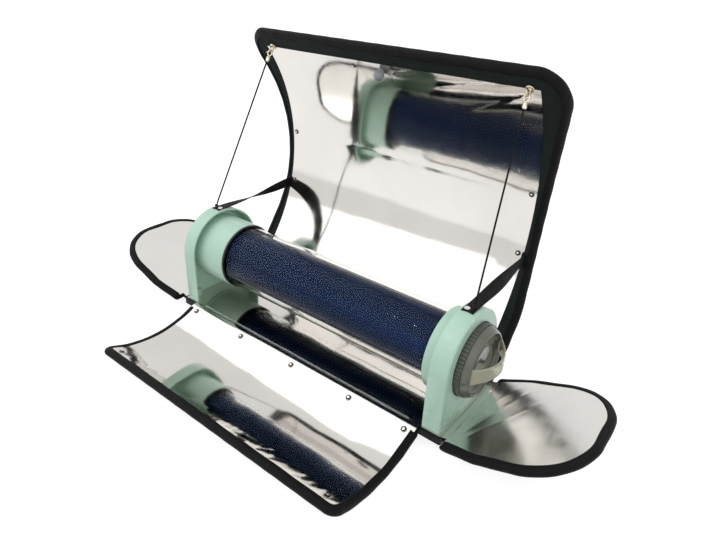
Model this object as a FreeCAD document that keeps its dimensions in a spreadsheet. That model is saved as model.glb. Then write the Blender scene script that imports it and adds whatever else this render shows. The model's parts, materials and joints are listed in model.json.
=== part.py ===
import FreeCAD, Part
import math
import os
import re
from types import SimpleNamespace

import Sketcher

# Folding solar cooker: a double-walled glass tube lies in two moulded end stands on a padded base.
# A curved back reflector, a curved front reflector and two end flaps are hinged to the base, and
# the food tray slides out of the tube towards +X.
# Row frame in millimetres: X along the tube, +Y towards the back reflector, Z up from the ground.

os.makedirs("parts", exist_ok=True)
doc = FreeCAD.newDocument("solar_cooker")
Vector = FreeCAD.Vector
X_AXIS = Vector(1, 0, 0)
Y_AXIS = Vector(0, 1, 0)
Z_AXIS = Vector(0, 0, 1)

SIZES = [
    ("foot_height", 18, "pad under the base, from the ground to the base"),
    ("foot_half_length", 262, "pad under the base, half length at the ground"),
    ("foot_half_width", 64, "pad under the base, half width at the ground"),
    ("foot_flare", 9, "how far the pad widens from the ground up to the base"),
    ("base_half_length", 301.7, "base casing, half length"),
    ("base_front", 84.5, "base casing, from the tube's plane to its front edge"),
    ("base_back", 89.7, "base casing, from the tube's plane to its back edge"),
    ("base_padding", 12, "base casing thickness"),
    ("board_thickness", 3.2, "stiff board on the base casing"),
    ("film_thickness", 0.8, "mirror film with its backing"),
    ("film_gap", 0.05, "gap under a film on a curved panel"),
    ("strip_width", 4.5, "clear strip along the base's front edge"),
    ("strip_height", 1.2, "clear strip thickness"),
    ("strip_half_length", 243, "clear strip half length"),
    ("axis_rise", 94, "tube axis above the stands' feet"),
    ("stand_half_width", 80, "stand half width and arch radius"),
    ("stand_outer", 296.3, "stand outer face from the middle"),
    ("stand_depth", 30.5, "stand depth along the tube"),
    ("stand_wall", 3, "moulded wall of stand and collars"),
    ("stand_edge", 2, "bevel of the stand's outer edge"),
    ("boss_radius", 6, "screw boss inside a stand"),
    ("boss_height", 14, "screw boss height"),
    ("boss_offset", 62, "screw boss from the tube's plane"),
    ("left_collar_radius", 64, "left collar outside radius"),
    ("left_collar_mouth", 204, "left collar mouth from the middle"),
    ("right_collar_radius", 67.7, "right collar outside radius"),
    ("right_collar_mouth", 247.4, "right collar mouth from the middle"),
    ("glass_radius", 60, "outer glass tube radius"),
    ("glass_wall", 2.2, "outer glass wall"),
    ("dome_centre", 226, "centre of the outer tube's closed dome, from the middle"),
    ("mouth_reach", 291.5, "glass mouth from the middle"),
    ("lip_length", 8, "solid glass lip that joins both tubes"),
    ("lip_round", 3, "rounding of the glass lip"),
    ("absorber_radius", 51, "inner tube outside radius"),
    ("absorber_wall", 2, "inner tube wall"),
    ("absorber_dome_centre", 216, "centre of the inner tube's dome, from the middle"),
    ("seal_clearance", 0.05, "clearance of rings on the glass"),
    ("seal_lip", 3.2, "height of the left sleeve's lip"),
    ("seal_lip_length", 3.5, "length of the left sleeve's lip"),
    ("seal_length", 12, "length of a sleeve inside its collar"),
    ("cushion_radius", 50, "rubber seat of the tube's dome"),
    ("clip_gap", 0.1, "gap between the support clip and the inner dome"),
    ("clip_spring", 0.4, "gap between the support clip and the outer dome"),
    ("clip_gauge", 0.8, "support clip sheet"),
    ("bore_radius", 61, "opening of the right stand"),
    ("tray_gap", 3, "gap between the food tray and the inner tube"),
    ("tray_wall", 0.8, "food tray sheet"),
    ("tray_overrun", 8, "how far the tray reaches into the inner dome"),
    ("tray_rim", 8, "tray rim above the tube axis"),
    ("bung_core", 46, "bung radius between its ribs"),
    ("bung_clearance", 0.05, "radial clearance of the bung's ribs in the tube"),
    ("bung_start", 262, "bung's inner face from the middle"),
    ("rib_width", 4, "width of one bung rib"),
    ("rib_pitch", 9, "distance from one bung rib to the next"),
    ("gasket_thickness", 1.6, "lid gasket on the glass mouth"),
    ("gasket_gap", 0.1, "lid gasket clearance at the mouth"),
    ("ring_radius", 59.5, "knurled lid ring radius"),
    ("ring_length", 12.8, "knurled lid ring length"),
    ("ring_bore", 48, "knurled lid ring bore"),
    ("knurl_count", 60, "flutes round the lid ring"),
    ("knurl_depth", 1.0, "depth of one flute"),
    ("cap_radius", 58.5, "lid cap radius"),
    ("cap_height", 12.5, "lid cap height"),
    ("crown_outer", 48, "outer radius of the cap's flat crown"),
    ("crown_inner", 39.5, "inner radius of the cap's flat crown"),
    ("dish_radius", 35, "radius of the cap's sunk middle"),
    ("dish_depth", 6, "depth of the cap's sunk middle"),
    ("cap_wall", 2.6, "lid cap wall"),
    ("handle_reach", 31.5, "bridge handle, from the crown to its outer face"),
    ("handle_span", 46, "half span of the bridge handle's outside"),
    ("handle_gauge", 4.6, "bridge handle thickness"),
    ("handle_width", 27, "bridge handle width"),
    ("handle_turn", 28, "turn of the handle from upright, in degrees"),
    ("screw_radius", 2, "small screw shank radius"),
    ("screw_head", 3.9, "small screw head radius"),
    ("screw_head_height", 2.4, "small screw head height"),
    ("screw_length", 12, "how far a tray screw reaches into the bung"),
    ("screw_clearance", 0.05, "clearance round screws and rivets"),
    ("seat_clearance", 0.1, "gap under pieces that sit on a curved face"),
    ("hinge_height", 29.2, "fabric hinge axes above the ground, front and ends"),
    ("hinge_standoff", 5.5, "front and end hinge axes from the base's edge"),
    ("bead_radius", 4.3, "piping in the front and left hinges"),
    ("right_bead_radius", 4.9, "piping in the right hinge"),
    ("hinge_clearance", 0.3, "gap between a panel's end and its piping"),
    ("panel_start", 1.5, "panel end from its hinge axis"),
    ("trim_start", 6, "film and binding end from the hinge axis"),
    ("flange_thickness", 1.6, "piping flange sewn to the base"),
    ("flange_drop", 2.2, "piping flange below its hinge axis"),
    ("binding_width", 14, "edge binding on a panel's face"),
    ("binding_thickness", 1.2, "edge binding thickness"),
    ("back_thickness", 14, "back reflector padding"),
    ("back_hinge_height", 29.8, "back hinge axis above the ground"),
    ("back_standoff", 7.8, "back hinge axis from the base's edge"),
    ("back_bead_radius", 6.4, "piping in the back hinge"),
    ("back_radius", 326, "back reflector, radius of its mirror side"),
    ("back_lower_angle", 37.3, "start of the back arc below level, in degrees"),
    ("back_upper_angle", 48, "end of the back arc above level, in degrees"),
    ("back_run", 86, "straight run from the back hinge to the arc"),
    ("back_top", 534, "back reflector's top edge above the ground"),
    ("back_foot_half_width", 299.5, "back reflector, half width near the base"),
    ("waist_half_width", 290, "back reflector, half width at its waist"),
    ("waist_height", 265, "waist above the ground"),
    ("waist_radius", 950, "radius of the back reflector's sides"),
    ("back_corner", 46, "back reflector's top corner radius"),
    ("side_facing", 17.3, "facing and binding beside the back mirror, at the waist"),
    ("top_facing", 31, "facing and binding above the back mirror"),
    ("front_thickness", 10, "front reflector and flap padding"),
    ("front_radius", 198, "front reflector, radius of its mirror side"),
    ("front_reach", 291, "front reflector's front edge from the tube's plane"),
    ("front_half_width", 268, "front reflector half width"),
    ("front_corner", 18, "front reflector's corner radius"),
    ("flap_tilt", 20, "rise of an end flap, in degrees"),
    ("flap_length", 210, "end flap length from its hinge"),
    ("flap_half_width", 111, "end flap half width"),
    ("flap_root_half_width", 99, "end flap half width at its hinge"),
    ("flap_shoulder", 62, "where a flap reaches its full width"),
    ("flap_corner", 90, "end flap corner radius"),
    ("stay_width", 46, "stiff stay under an end flap's root, across the hinge"),
    ("stay_half_length", 76, "half length of a flap's stay"),
    ("stay_thickness", 1.5, "thickness of a flap's stay"),
    ("stay_corner", 14, "corner radius of a flap's stay"),
    ("stay_gap", 0.05, "gap between a flap's padding and its stay"),
    ("snap_radius", 5, "snap stud radius"),
    ("snap_height", 2.6, "snap stud height"),
    ("side_snap_height", 326, "side snap studs above the ground"),
    ("strap_snap_height", 221, "snap studs beside the straps, above the ground"),
    ("snap_margin", 8.7, "side snap studs inside the back mirror's edge"),
    ("strap_snap_shift", 1, "snap studs beside the straps, further in than the others"),
    ("top_snap_place", 67.5, "top snap stud, left of the middle"),
    ("top_snap_margin", 10, "top snap stud below the back mirror's top edge"),
    ("knob_radius", 9, "closing knob radius"),
    ("knob_place", 9, "closing knob, left of the middle"),
    ("knob_margin", 13, "closing knob below the back mirror's top edge"),
    ("front_snap_first", 10, "first hinge snap inside the front mirror's left edge"),
    ("front_snap_pitch", 128.2, "distance between the hinge snaps"),
    ("front_snap_last", 6, "last hinge snap inside the front mirror's right edge"),
    ("front_snap_line", 11, "hinge snaps in front of the front hinge axis"),
    ("corner_snap_inset", 16, "front corner snaps inside the front mirror's sides"),
    ("corner_snap_line", 9, "front corner snaps behind the front mirror's front edge"),
    ("eye_inset", 15.7, "cord eye inside the back mirror's side edge"),
    ("eye_ring", 5, "cord eye ring radius"),
    ("hook_ring", 5.5, "cord hook ring radius"),
    ("wire_radius", 1.3, "wire of eye and hook"),
    ("barrel_radius", 3.6, "swivel barrel of the hook"),
    ("barrel_length", 12, "swivel barrel length"),
    ("cord_radius", 1.5, "tension cord radius"),
    ("cord_place", 286, "cord's lower end from the middle"),
    ("knot_radius", 3.6, "knot at a cord's lower end"),
    ("strap_width", 20, "webbing strap width"),
    ("strap_gauge", 1.5, "webbing strap thickness"),
    ("strap_place", 279, "strap's centre line on the stand"),
    ("strap_far_margin", 3.3, "strap's far centre line outside the back mirror's edge"),
    ("strap_far_height", 214, "strap's far end above the ground"),
    ("strap_tail", 9, "strap's tail in front of its rivet"),
    ("strap_flat", 14, "strap's flat length behind its rivet"),
    ("rivet_place", 275, "strap rivet from the middle"),
    ("rivet_radius", 1.8, "strap rivet shank"),
    ("rivet_head", 4.5, "strap rivet head radius"),
    ("rivet_head_height", 1.6, "strap rivet head height"),
]

size = doc.addObject("Spreadsheet::Sheet", "size")
for row, (alias, value, meaning) in enumerate(SIZES, start=1):
    size.set(f"A{row}", meaning)
    size.set(f"B{row}", str(value))
    size.setAlias(f"B{row}", alias)
doc.recompute()

ALIASES = {alias for alias, _, _ in SIZES}
dim = SimpleNamespace(**{alias: float(getattr(size, alias)) for alias in ALIASES})
nodes = []

# Heights that many pieces share, as expressions and as numbers.
STAND_FOOT = "(foot_height + base_padding + board_thickness + film_thickness)"
AXIS_HEIGHT = STAND_FOOT + " + axis_rise"
stand_foot = dim.foot_height + dim.base_padding + dim.board_thickness + dim.film_thickness
axis_height = stand_foot + dim.axis_rise
stand_top = axis_height + dim.stand_half_width


def formula(text):
    """Point every size named in an expression at its cell in the sheet."""
    return re.sub(r"[a-z][a-z_]*", lambda m: f"size.{m[0]}" if m[0] in ALIASES else m[0], text)


def bind(item, **properties):
    """Bind properties to expressions; two underscores stand for a dot."""
    for name, text in properties.items():
        item.setExpression(name.replace("__", "."), formula(text))
    return item


def keep(item, label):
    """Give a finished sub-part the label that names its file."""
    item.Label = label
    nodes.append(item)
    return item


def feature(label, shape):
    """A sub-part whose shape is computed here from the sheet's sizes."""
    item = doc.addObject("Part::Feature", label)
    item.Shape = shape
    item.Placement = FreeCAD.Placement()
    return keep(item, label)


def box(name, low, high):
    """A box between two corners, each given as three expressions."""
    item = doc.addObject("Part::Box", name)
    spans = [f"({b}) - ({a})" for a, b in zip(low, high)]
    bind(item, Length=spans[0], Width=spans[1], Height=spans[2])
    return bind(item, Placement__Base__x=low[0], Placement__Base__y=low[1], Placement__Base__z=low[2])


def cylinder_x(name, radius, start, end):
    """A cylinder on the tube's axis, between two X positions."""
    item = doc.addObject("Part::Cylinder", name)
    item.Placement = FreeCAD.Placement(Vector(), FreeCAD.Rotation(Y_AXIS, 90))
    bind(item, Radius=radius, Height=f"({end}) - ({start})")
    return bind(item, Placement__Base__x=start, Placement__Base__z=AXIS_HEIGHT)


def cylinder_z(name, radius, place, bottom, top):
    """An upright cylinder at a place (x, y), between two heights."""
    item = doc.addObject("Part::Cylinder", name)
    bind(item, Radius=radius, Height=f"({top}) - ({bottom})")
    return bind(item, Placement__Base__x=place[0], Placement__Base__y=place[1], Placement__Base__z=bottom)


def fuse(name, items):
    """One solid from several overlapping ones."""
    item = doc.addObject("Part::MultiFuse", name)
    item.Shapes = items
    item.Refine = True
    return item


def cut(name, base, tool):
    """A solid less another."""
    item = doc.addObject("Part::Cut", name)
    item.Base = base
    item.Tool = tool
    return item


def common(name, first, second):
    """What two solids share."""
    item = doc.addObject("Part::Common", name)
    item.Base = first
    item.Tool = second
    return item


def group(name, items):
    """Separate solids of one node."""
    item = doc.addObject("Part::Compound", name)
    item.Links = items
    return item


def origin_part(body, role):
    """A plane or axis of a body's own origin."""
    return next(part for part in body.Origin.OriginFeatures if part.Role == role)


def outline_sketch(body, name, plane, corners):
    """A closed outline of straight lines, each corner bound to two expressions."""
    sketch = body.newObject("Sketcher::SketchObject", name)
    sketch.AttachmentSupport = [(origin_part(body, plane), "")]
    sketch.MapMode = "FlatFace"
    count = len(corners)
    starts = [Vector(50 * math.cos(2 * math.pi * i / count), 50 * math.sin(2 * math.pi * i / count), 0)
              for i in range(count)]
    for i in range(count):
        sketch.addGeometry(Part.LineSegment(starts[i], starts[(i + 1) % count]), False)
    for i in range(count):
        sketch.addConstraint(Sketcher.Constraint("Coincident", i, 2, (i + 1) % count, 1))
    for i, (across, up) in enumerate(corners):
        for kind, text, axis in (("DistanceX", across, -2), ("DistanceY", up, -1)):
            if text == "0":
                sketch.addConstraint(Sketcher.Constraint("PointOnObject", i, 1, axis))
                continue
            number = sketch.addConstraint(Sketcher.Constraint(kind, -1, 1, i, 1, 10.0))
            sketch.setExpression(f"Constraints[{number}]", formula(text))
    return sketch


def turned_body(label, corners):
    """A body turned about the tube's axis from corners (x, radius)."""
    body = doc.addObject("PartDesign::Body", label)
    sketch = outline_sketch(body, label + "_profile", "XZ_Plane", corners)
    turn = body.newObject("PartDesign::Revolution", label + "_turn")
    turn.Profile = sketch
    turn.ReferenceAxis = (sketch, ["H_Axis"])
    turn.Angle = 360
    body.Tip = turn
    bind(body, Placement__Base__z=AXIS_HEIGHT)
    return body


# Base: foot pad, padded casing, board, mirror film and the clear strip on its front edge.

def wedge_pad():
    """The pad that stands on the ground, wider at the top than at the bottom."""
    body = doc.addObject("PartDesign::Body", "foot_pad")
    half_length, half_width = "foot_half_length", "foot_half_width"
    sketch = outline_sketch(body, "foot_outline", "XY_Plane", [
        (f"-{half_length}", f"-{half_width}"), (half_length, f"-{half_width}"),
        (half_length, half_width), (f"-{half_length}", half_width)])
    pad = body.newObject("PartDesign::Pad", "foot_lift")
    pad.Profile = sketch
    bind(pad, Length="foot_height", TaperAngle="atan(foot_flare / foot_height) * 1")
    body.Tip = pad
    return keep(body, "base_foot_pad")


wedge_pad()
screw_places = [(f"{sign_x}(stand_outer - stand_wall - boss_radius - 1)", f"{sign_y}boss_offset")
                for sign_x in ("-", "") for sign_y in ("-", "")]
head_pockets = fuse("head_pockets", [
    cylinder_z(f"head_pocket_{i}", "screw_head + screw_clearance * 4", place,
               "foot_height + base_padding - screw_head_height - 0.2", "foot_height + base_padding + 1")
    for i, place in enumerate(screw_places)])
shank_bores = fuse("shank_bores", [
    cylinder_z(f"shank_bore_{i}", "screw_radius + screw_clearance", place,
               "foot_height + base_padding - 1", STAND_FOOT + " + boss_height - 2")
    for i, place in enumerate(screw_places)])
keep(cut("base_casing_solid",
         box("casing_block", ("-base_half_length", "-base_front", "foot_height"),
             ("base_half_length", "base_back", "foot_height + base_padding")),
         head_pockets), "base_casing")
keep(cut("base_board_solid",
         box("board_block", ("-base_half_length", "-base_front", "foot_height + base_padding"),
             ("base_half_length", "base_back", "foot_height + base_padding + board_thickness")),
         shank_bores), "base_board")
keep(cut("base_mirror_solid",
         box("film_block", ("-base_half_length", "-base_front", STAND_FOOT + " - film_thickness"),
             ("base_half_length", "base_back", STAND_FOOT)),
         shank_bores), "base_mirror")
keep(box("base_front_strip", ("-strip_half_length", "-base_front", STAND_FOOT),
         ("strip_half_length", "-base_front + strip_width", f"{STAND_FOOT} + strip_height")),
     "base_front_strip")
keep(group("stand_screw_set", [
    fuse(f"stand_screw_{i}", [
        cylinder_z(f"stand_screw_head_{i}", "screw_head", place,
                   "foot_height + base_padding - screw_head_height", "foot_height + base_padding"),
        cylinder_z(f"stand_screw_shank_{i}", "screw_radius", place,
                   "foot_height + base_padding - 1", STAND_FOOT + " + boss_height - 3")])
    for i, place in enumerate(screw_places)]), "stand_screws")


# Stands: arched moulded shells, closed outside and open towards the middle.

def arch_sketch(body, name, inset, foot, offset):
    """An upright outline with an arched top about the tube's axis."""
    sketch = body.newObject("Sketcher::SketchObject", name)
    sketch.AttachmentSupport = [(origin_part(body, "YZ_Plane"), "")]
    sketch.MapMode = "FlatFace"
    bind(sketch, AttachmentOffset__Base__z=offset)
    radius = dim.stand_half_width
    rise = dim.axis_rise
    low_left, low_right = Vector(-radius, 0, 0), Vector(radius, 0, 0)
    high_left, high_right = Vector(-radius, rise, 0), Vector(radius, rise, 0)
    sketch.addGeometry(Part.LineSegment(low_left, low_right), False)
    sketch.addGeometry(Part.LineSegment(low_right, high_right), False)
    sketch.addGeometry(Part.ArcOfCircle(Part.Circle(Vector(0, rise, 0), Z_AXIS, radius), 0, math.pi), False)
    sketch.addGeometry(Part.LineSegment(high_left, low_left), False)
    for first, first_end, second, second_end in ((0, 2, 1, 1), (1, 2, 2, 1), (2, 2, 3, 1), (3, 2, 0, 1)):
        sketch.addConstraint(Sketcher.Constraint("Coincident", first, first_end, second, second_end))
    for line in (1, 3):
        sketch.addConstraint(Sketcher.Constraint("Vertical", line))
    sketch.addConstraint(Sketcher.Constraint("PointOnObject", 2, 3, -2))
    sketch.addConstraint(Sketcher.Constraint("Horizontal", 1, 2, 2, 3))
    sketch.addConstraint(Sketcher.Constraint("Horizontal", 3, 1, 2, 3))
    for kind, place, text in (("Radius", (2,), f"stand_half_width - {inset}"),
                              ("DistanceY", (-1, 1, 2, 3), "axis_rise"),
                              ("DistanceY", (-1, 1, 0, 1), foot),
                              ("DistanceY", (-1, 1, 0, 2), foot)):
        if text == "0":
            sketch.addConstraint(Sketcher.Constraint("PointOnObject", place[2], place[3], -1))
            continue
        number = sketch.addConstraint(Sketcher.Constraint(kind, *place, 10.0))
        sketch.setExpression(f"Constraints[{number}]", formula(text))
    return sketch


def stand(label, side, opening):
    """One stand; side is -1 for the left and 1 for the right, which has the tube's opening."""
    body = doc.addObject("PartDesign::Body", label)
    pad = body.newObject("PartDesign::Pad", label + "_block")
    pad.Profile = arch_sketch(body, label + "_outline", "0", "0", "0")
    bind(pad, Length="stand_depth")
    doc.recompute()
    bevel = body.newObject("PartDesign::Chamfer", label + "_edge")
    outer_edges = [f"Edge{i}" for i, edge in enumerate(pad.Shape.Edges, start=1)
                   if edge.BoundBox.XMax < 0.01 and edge.BoundBox.ZMax > 1]
    bevel.Base = (pad, outer_edges)
    bind(bevel, Size="stand_edge")
    recess = body.newObject("PartDesign::Pocket", label + "_recess")
    recess.Profile = arch_sketch(body, label + "_inside", "stand_wall", "-1", "stand_wall")
    recess.Reversed = True
    bind(recess, Length="stand_depth")
    for number, sign in enumerate(("-", "")):
        boss = body.newObject("PartDesign::AdditiveCylinder", f"{label}_boss_{number}")
        bind(boss, Radius="boss_radius", Height="boss_height",
             Placement__Base__x="stand_wall + boss_radius + 1", Placement__Base__y=sign + "boss_offset")
        web = body.newObject("PartDesign::AdditiveBox", f"{label}_web_{number}")
        bind(web, Length="boss_radius + 2", Width="stand_wall", Height="boss_height",
             Placement__Base__x="stand_wall - 1", Placement__Base__y=f"{sign}boss_offset - stand_wall / 2")
        bore = body.newObject("PartDesign::SubtractiveCylinder", f"{label}_bore_{number}")
        bind(bore, Radius="screw_radius + screw_clearance", Height="boss_height - 2",
             Placement__Base__x="stand_wall + boss_radius + 1", Placement__Base__y=sign + "boss_offset",
             Placement__Base__z="-0.5")
    last = body.newObject("PartDesign::SubtractiveCylinder", label + "_rivet_hole")
    bind(last, Radius="rivet_radius + screw_clearance", Height="stand_wall * 2",
         Placement__Base__x="stand_outer - rivet_place",
         Placement__Base__z="axis_rise + stand_half_width - stand_wall * 1.5")
    if opening:
        last = body.newObject("PartDesign::SubtractiveCylinder", label + "_opening")
        last.Placement = FreeCAD.Placement(Vector(), FreeCAD.Rotation(Y_AXIS, 90))
        bind(last, Radius="bore_radius", Height="stand_depth", Placement__Base__x="-1",
             Placement__Base__z="axis_rise")
    body.Tip = last
    body.Placement = FreeCAD.Placement(Vector(), FreeCAD.Rotation(Z_AXIS, 90 + 90 * side))
    bind(body, Placement__Base__x=f"stand_outer * ({side})", Placement__Base__z=STAND_FOOT)
    return keep(body, label)


stand("left_stand", -1, False)
stand("right_stand", 1, True)
keep(turned_body("left_collar", [
    ("-stand_outer + stand_wall", "left_collar_radius - stand_wall"),
    ("-left_collar_mouth", "left_collar_radius - stand_wall"),
    ("-left_collar_mouth", "left_collar_radius"),
    ("-stand_outer + stand_wall * 2", "left_collar_radius"),
    ("-stand_outer + stand_wall * 2", "left_collar_radius + stand_wall * 2"),
    ("-stand_outer + stand_wall", "left_collar_radius + stand_wall * 2")]), "left_collar")
keep(turned_body("right_collar", [
    ("right_collar_mouth", "right_collar_radius - stand_wall"),
    ("right_collar_mouth", "right_collar_radius"),
    ("stand_outer - stand_wall * 2", "right_collar_radius"),
    ("stand_outer - stand_wall * 2", "right_collar_radius + stand_wall * 2"),
    ("stand_outer - stand_wall", "right_collar_radius + stand_wall * 2"),
    ("stand_outer - stand_wall", "right_collar_radius - stand_wall")]), "right_collar")
keep(turned_body("left_sleeve", [
    ("-left_collar_mouth - seal_length", "glass_radius + seal_clearance"),
    ("-left_collar_mouth + seal_lip_length", "glass_radius + seal_clearance"),
    ("-left_collar_mouth + seal_lip_length", "glass_radius + seal_clearance + seal_lip"),
    ("-left_collar_mouth", "glass_radius + seal_clearance + seal_lip"),
    ("-left_collar_mouth", "left_collar_radius - stand_wall - seal_clearance"),
    ("-left_collar_mouth - seal_length", "left_collar_radius - stand_wall - seal_clearance")]),
    "left_tube_sleeve")
keep(turned_body("right_sleeve", [
    ("right_collar_mouth + stand_wall", "glass_radius + seal_clearance"),
    ("right_collar_mouth + stand_wall + seal_length", "glass_radius + seal_clearance"),
    ("right_collar_mouth + stand_wall + seal_length", "right_collar_radius - stand_wall - seal_clearance"),
    ("right_collar_mouth + stand_wall", "right_collar_radius - stand_wall - seal_clearance")]),
    "right_tube_sleeve")


# Vacuum tube: clear outer glass with a solid lip, coated inner tube, sheet clip and rubber seat.

DOME_ANGLES = (22.5, 45, 67.5)


def dome_corners(radius, centre):
    """Corners (x, radius) of a closed left end, in bands from the tube's side to its axis."""
    bands = [(f"-{centre} - {radius} * sin({angle})", f"{radius} * cos({angle})") for angle in DOME_ANGLES]
    return [(f"-{centre}", radius)] + bands + [(f"-{centre} - {radius}", "0")]


LIP_START = "mouth_reach - lip_length"
GLASS_INSIDE = "(glass_radius - glass_wall)"
ABSORBER_INSIDE = "(absorber_radius - absorber_wall)"
keep(turned_body("glass_solid", [
    ("mouth_reach", ABSORBER_INSIDE), ("mouth_reach", "glass_radius - lip_round"),
    ("mouth_reach - lip_round", "glass_radius")]
    + dome_corners("glass_radius", "dome_centre") + dome_corners(GLASS_INSIDE, "dome_centre")[::-1]
    + [(LIP_START, GLASS_INSIDE), (LIP_START, ABSORBER_INSIDE)]), "outer_glass_tube")
keep(turned_body("absorber_solid", [(LIP_START, "absorber_radius")]
                 + dome_corners("absorber_radius", "absorber_dome_centre")
                 + dome_corners(ABSORBER_INSIDE, "absorber_dome_centre")[::-1]
                 + [(LIP_START, ABSORBER_INSIDE)]), "absorber_tube")
# The clip runs from a band's edge on the inner dome to one under the outer dome.
inner_foot = dome_corners("absorber_radius", "absorber_dome_centre")[3]
outer_foot = dome_corners(GLASS_INSIDE, "dome_centre")[2]
keep(turned_body("support_clip", [
    (inner_foot[0] + " - clip_gap", inner_foot[1]),
    (inner_foot[0] + " - clip_gap - clip_gauge", inner_foot[1]),
    (outer_foot[0] + " + clip_spring", outer_foot[1]),
    (outer_foot[0] + " + clip_spring + clip_gauge", outer_foot[1])]), "tube_support_clip")
seat = dome_corners("(glass_radius + seal_clearance)", "dome_centre")[2:]
keep(turned_body("tail_cushion_solid", [
    ("-stand_outer + stand_wall", "0"), ("-stand_outer + stand_wall", "cushion_radius"),
    (seat[0][0], "cushion_radius")] + seat), "tube_tail_cushion")

# Food tray with its lid: trough, bung, gasket, knurled ring, cap and bridge handle.

TRAY_RADIUS = "(absorber_radius - absorber_wall - tray_gap)"
TRAY_END = "-absorber_dome_centre - tray_overrun"
tray_screw_places = [("-18", "-22"), ("18", "-22")]


def level_rod(name, place, radius, start, end):
    """A rod along X beside the tube's axis, for the tray's screws and their bores."""
    item = cylinder_x(name, radius, start, end)
    return bind(item, Placement__Base__y=place[0], Placement__Base__z=f"{AXIS_HEIGHT} + ({place[1]})")


tray_bores = fuse("tray_bores", [
    level_rod(f"tray_bore_{i}", place, "screw_radius + screw_clearance", "bung_start - tray_wall - 1",
              "bung_start + screw_length + 0.5")
    for i, place in enumerate(tray_screw_places)])
trough = cut("trough_shell",
             cylinder_x("trough_outside", TRAY_RADIUS, TRAY_END, "bung_start"),
             cylinder_x("trough_inside", TRAY_RADIUS + " - tray_wall", TRAY_END + " + tray_wall",
                        "bung_start - tray_wall"))
open_trough = common(
    "open_trough", trough,
    box("trough_cutter",
        (TRAY_END + " - 1", f"-{TRAY_RADIUS} - 1", f"{AXIS_HEIGHT} - {TRAY_RADIUS} - 1"),
        ("bung_start + 1", TRAY_RADIUS + " + 1", AXIS_HEIGHT + " + tray_rim")))
keep(cut("food_tray_solid", open_trough, tray_bores), "food_tray")
GASKET_START = "(mouth_reach + gasket_gap)"
RING_START = "(mouth_reach + gasket_gap + gasket_thickness)"
RIB_RADIUS = "absorber_radius - absorber_wall - bung_clearance"
bung_corners = [("bung_start", "0"), ("bung_start", "bung_core")]
for rib in range(3):
    rib_start = f"bung_start + rib_width / 2 + rib_pitch * {rib}"
    bung_corners += [(rib_start, RIB_RADIUS), (rib_start + " + rib_width", "bung_core")]
bung_corners += [(GASKET_START, "bung_core"), (GASKET_START, "0")]
keep(cut("lid_bung_solid", turned_body("bung", bung_corners), tray_bores), "lid_bung")
keep(turned_body("gasket", [(GASKET_START, "0"), (GASKET_START, "ring_radius - 1"),
                            (RING_START, "ring_radius - 1"), (RING_START, "0")]), "lid_gasket")

ring_body = turned_body("knurled_ring", [
    (RING_START, "ring_bore"), (RING_START, "ring_radius"),
    (RING_START + " + ring_length", "ring_radius"), (RING_START + " + ring_length", "ring_bore")])
flute_sketch = outline_sketch(ring_body, "flute_outline", "YZ_Plane", [
    ("ring_radius - knurl_depth", "0"), ("ring_radius + 0.5", "knurl_depth * 1.2"),
    ("ring_radius + 0.5", "-knurl_depth * 1.2")])
flute = ring_body.newObject("PartDesign::Pocket", "flute_cut")
flute.Profile = flute_sketch
flute.Type = "ThroughAll"
flute.Reversed = True
flutes = ring_body.newObject("PartDesign::PolarPattern", "flutes")
flutes.Originals = [flute]
flutes.Axis = (origin_part(ring_body, "X_Axis"), [""])
flutes.Angle = 360
bind(flutes, Occurrences="knurl_count")
ring_body.Tip = flutes
keep(ring_body, "lid_ring")

CAP_START = RING_START + " + ring_length"
CAP_CROWN = CAP_START + " + cap_height"
keep(turned_body("cap", [
    (CAP_START, "0"), (CAP_START, "cap_radius"), (CAP_START + " + cap_wall", "cap_radius"),
    (CAP_START + " + cap_height * 0.72", "(cap_radius * 2 + crown_outer) / 3"),
    (CAP_CROWN, "crown_outer"), (CAP_CROWN, "crown_inner"),
    (CAP_CROWN + " - dish_depth", "dish_radius"), (CAP_CROWN + " - dish_depth", "0")]), "lid_cap")

# The handle's outside is an arc through both feet and the outermost point.
HANDLE_OUTER = "((handle_span ^ 2 + handle_reach ^ 2) / (2 * handle_reach))"
HANDLE_CENTRE = f"{CAP_CROWN} + handle_reach - {HANDLE_OUTER}"


def cross_rod(name, radius):
    """A rod across the handle's arc, along the handle's width."""
    item = doc.addObject("Part::Cylinder", name)
    item.Placement = FreeCAD.Placement(Vector(), FreeCAD.Rotation(X_AXIS, -90))
    return bind(item, Radius=radius, Height="handle_width", Placement__Base__x=HANDLE_CENTRE,
                Placement__Base__y="-handle_width / 2")


handle_hoop = cut("handle_hoop", cross_rod("handle_outside", HANDLE_OUTER),
                  cross_rod("handle_inside", HANDLE_OUTER + " - handle_gauge"))
handle = common("handle_solid", handle_hoop,
                box("handle_cutter", (CAP_CROWN, "-handle_width", "-handle_span - 1"),
                    (CAP_CROWN + " + handle_reach + 1", "handle_width", "handle_span + 1")))
handle.Placement = FreeCAD.Placement(Vector(), FreeCAD.Rotation(X_AXIS, -dim.handle_turn))
bind(handle, Placement__Base__z=AXIS_HEIGHT)
keep(handle, "lid_handle")
keep(group("tray_screw_set", [
    fuse(f"tray_screw_{i}", [
        level_rod(f"tray_screw_head_{i}", place, "screw_head",
                  "bung_start - tray_wall - screw_head_height", "bung_start - tray_wall"),
        level_rod(f"tray_screw_shank_{i}", place, "screw_radius", "bung_start - tray_wall - 1",
                  "bung_start + screw_length")])
    for i, place in enumerate(tray_screw_places)]), "tray_screws")


# Panels: each is a slab swept along X or Z and trimmed by its outline seen square on.

def prism(edges, direction):
    """A solid swept from closed edges along a direction."""
    return Part.Face(Part.Wire(edges)).extrude(direction)


def arc(start, middle, end):
    """An arc edge through three points."""
    return Part.Arc(start, middle, end).toShape()


def line(start, end):
    """A straight edge."""
    return Part.LineSegment(start, end).toShape()


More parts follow.
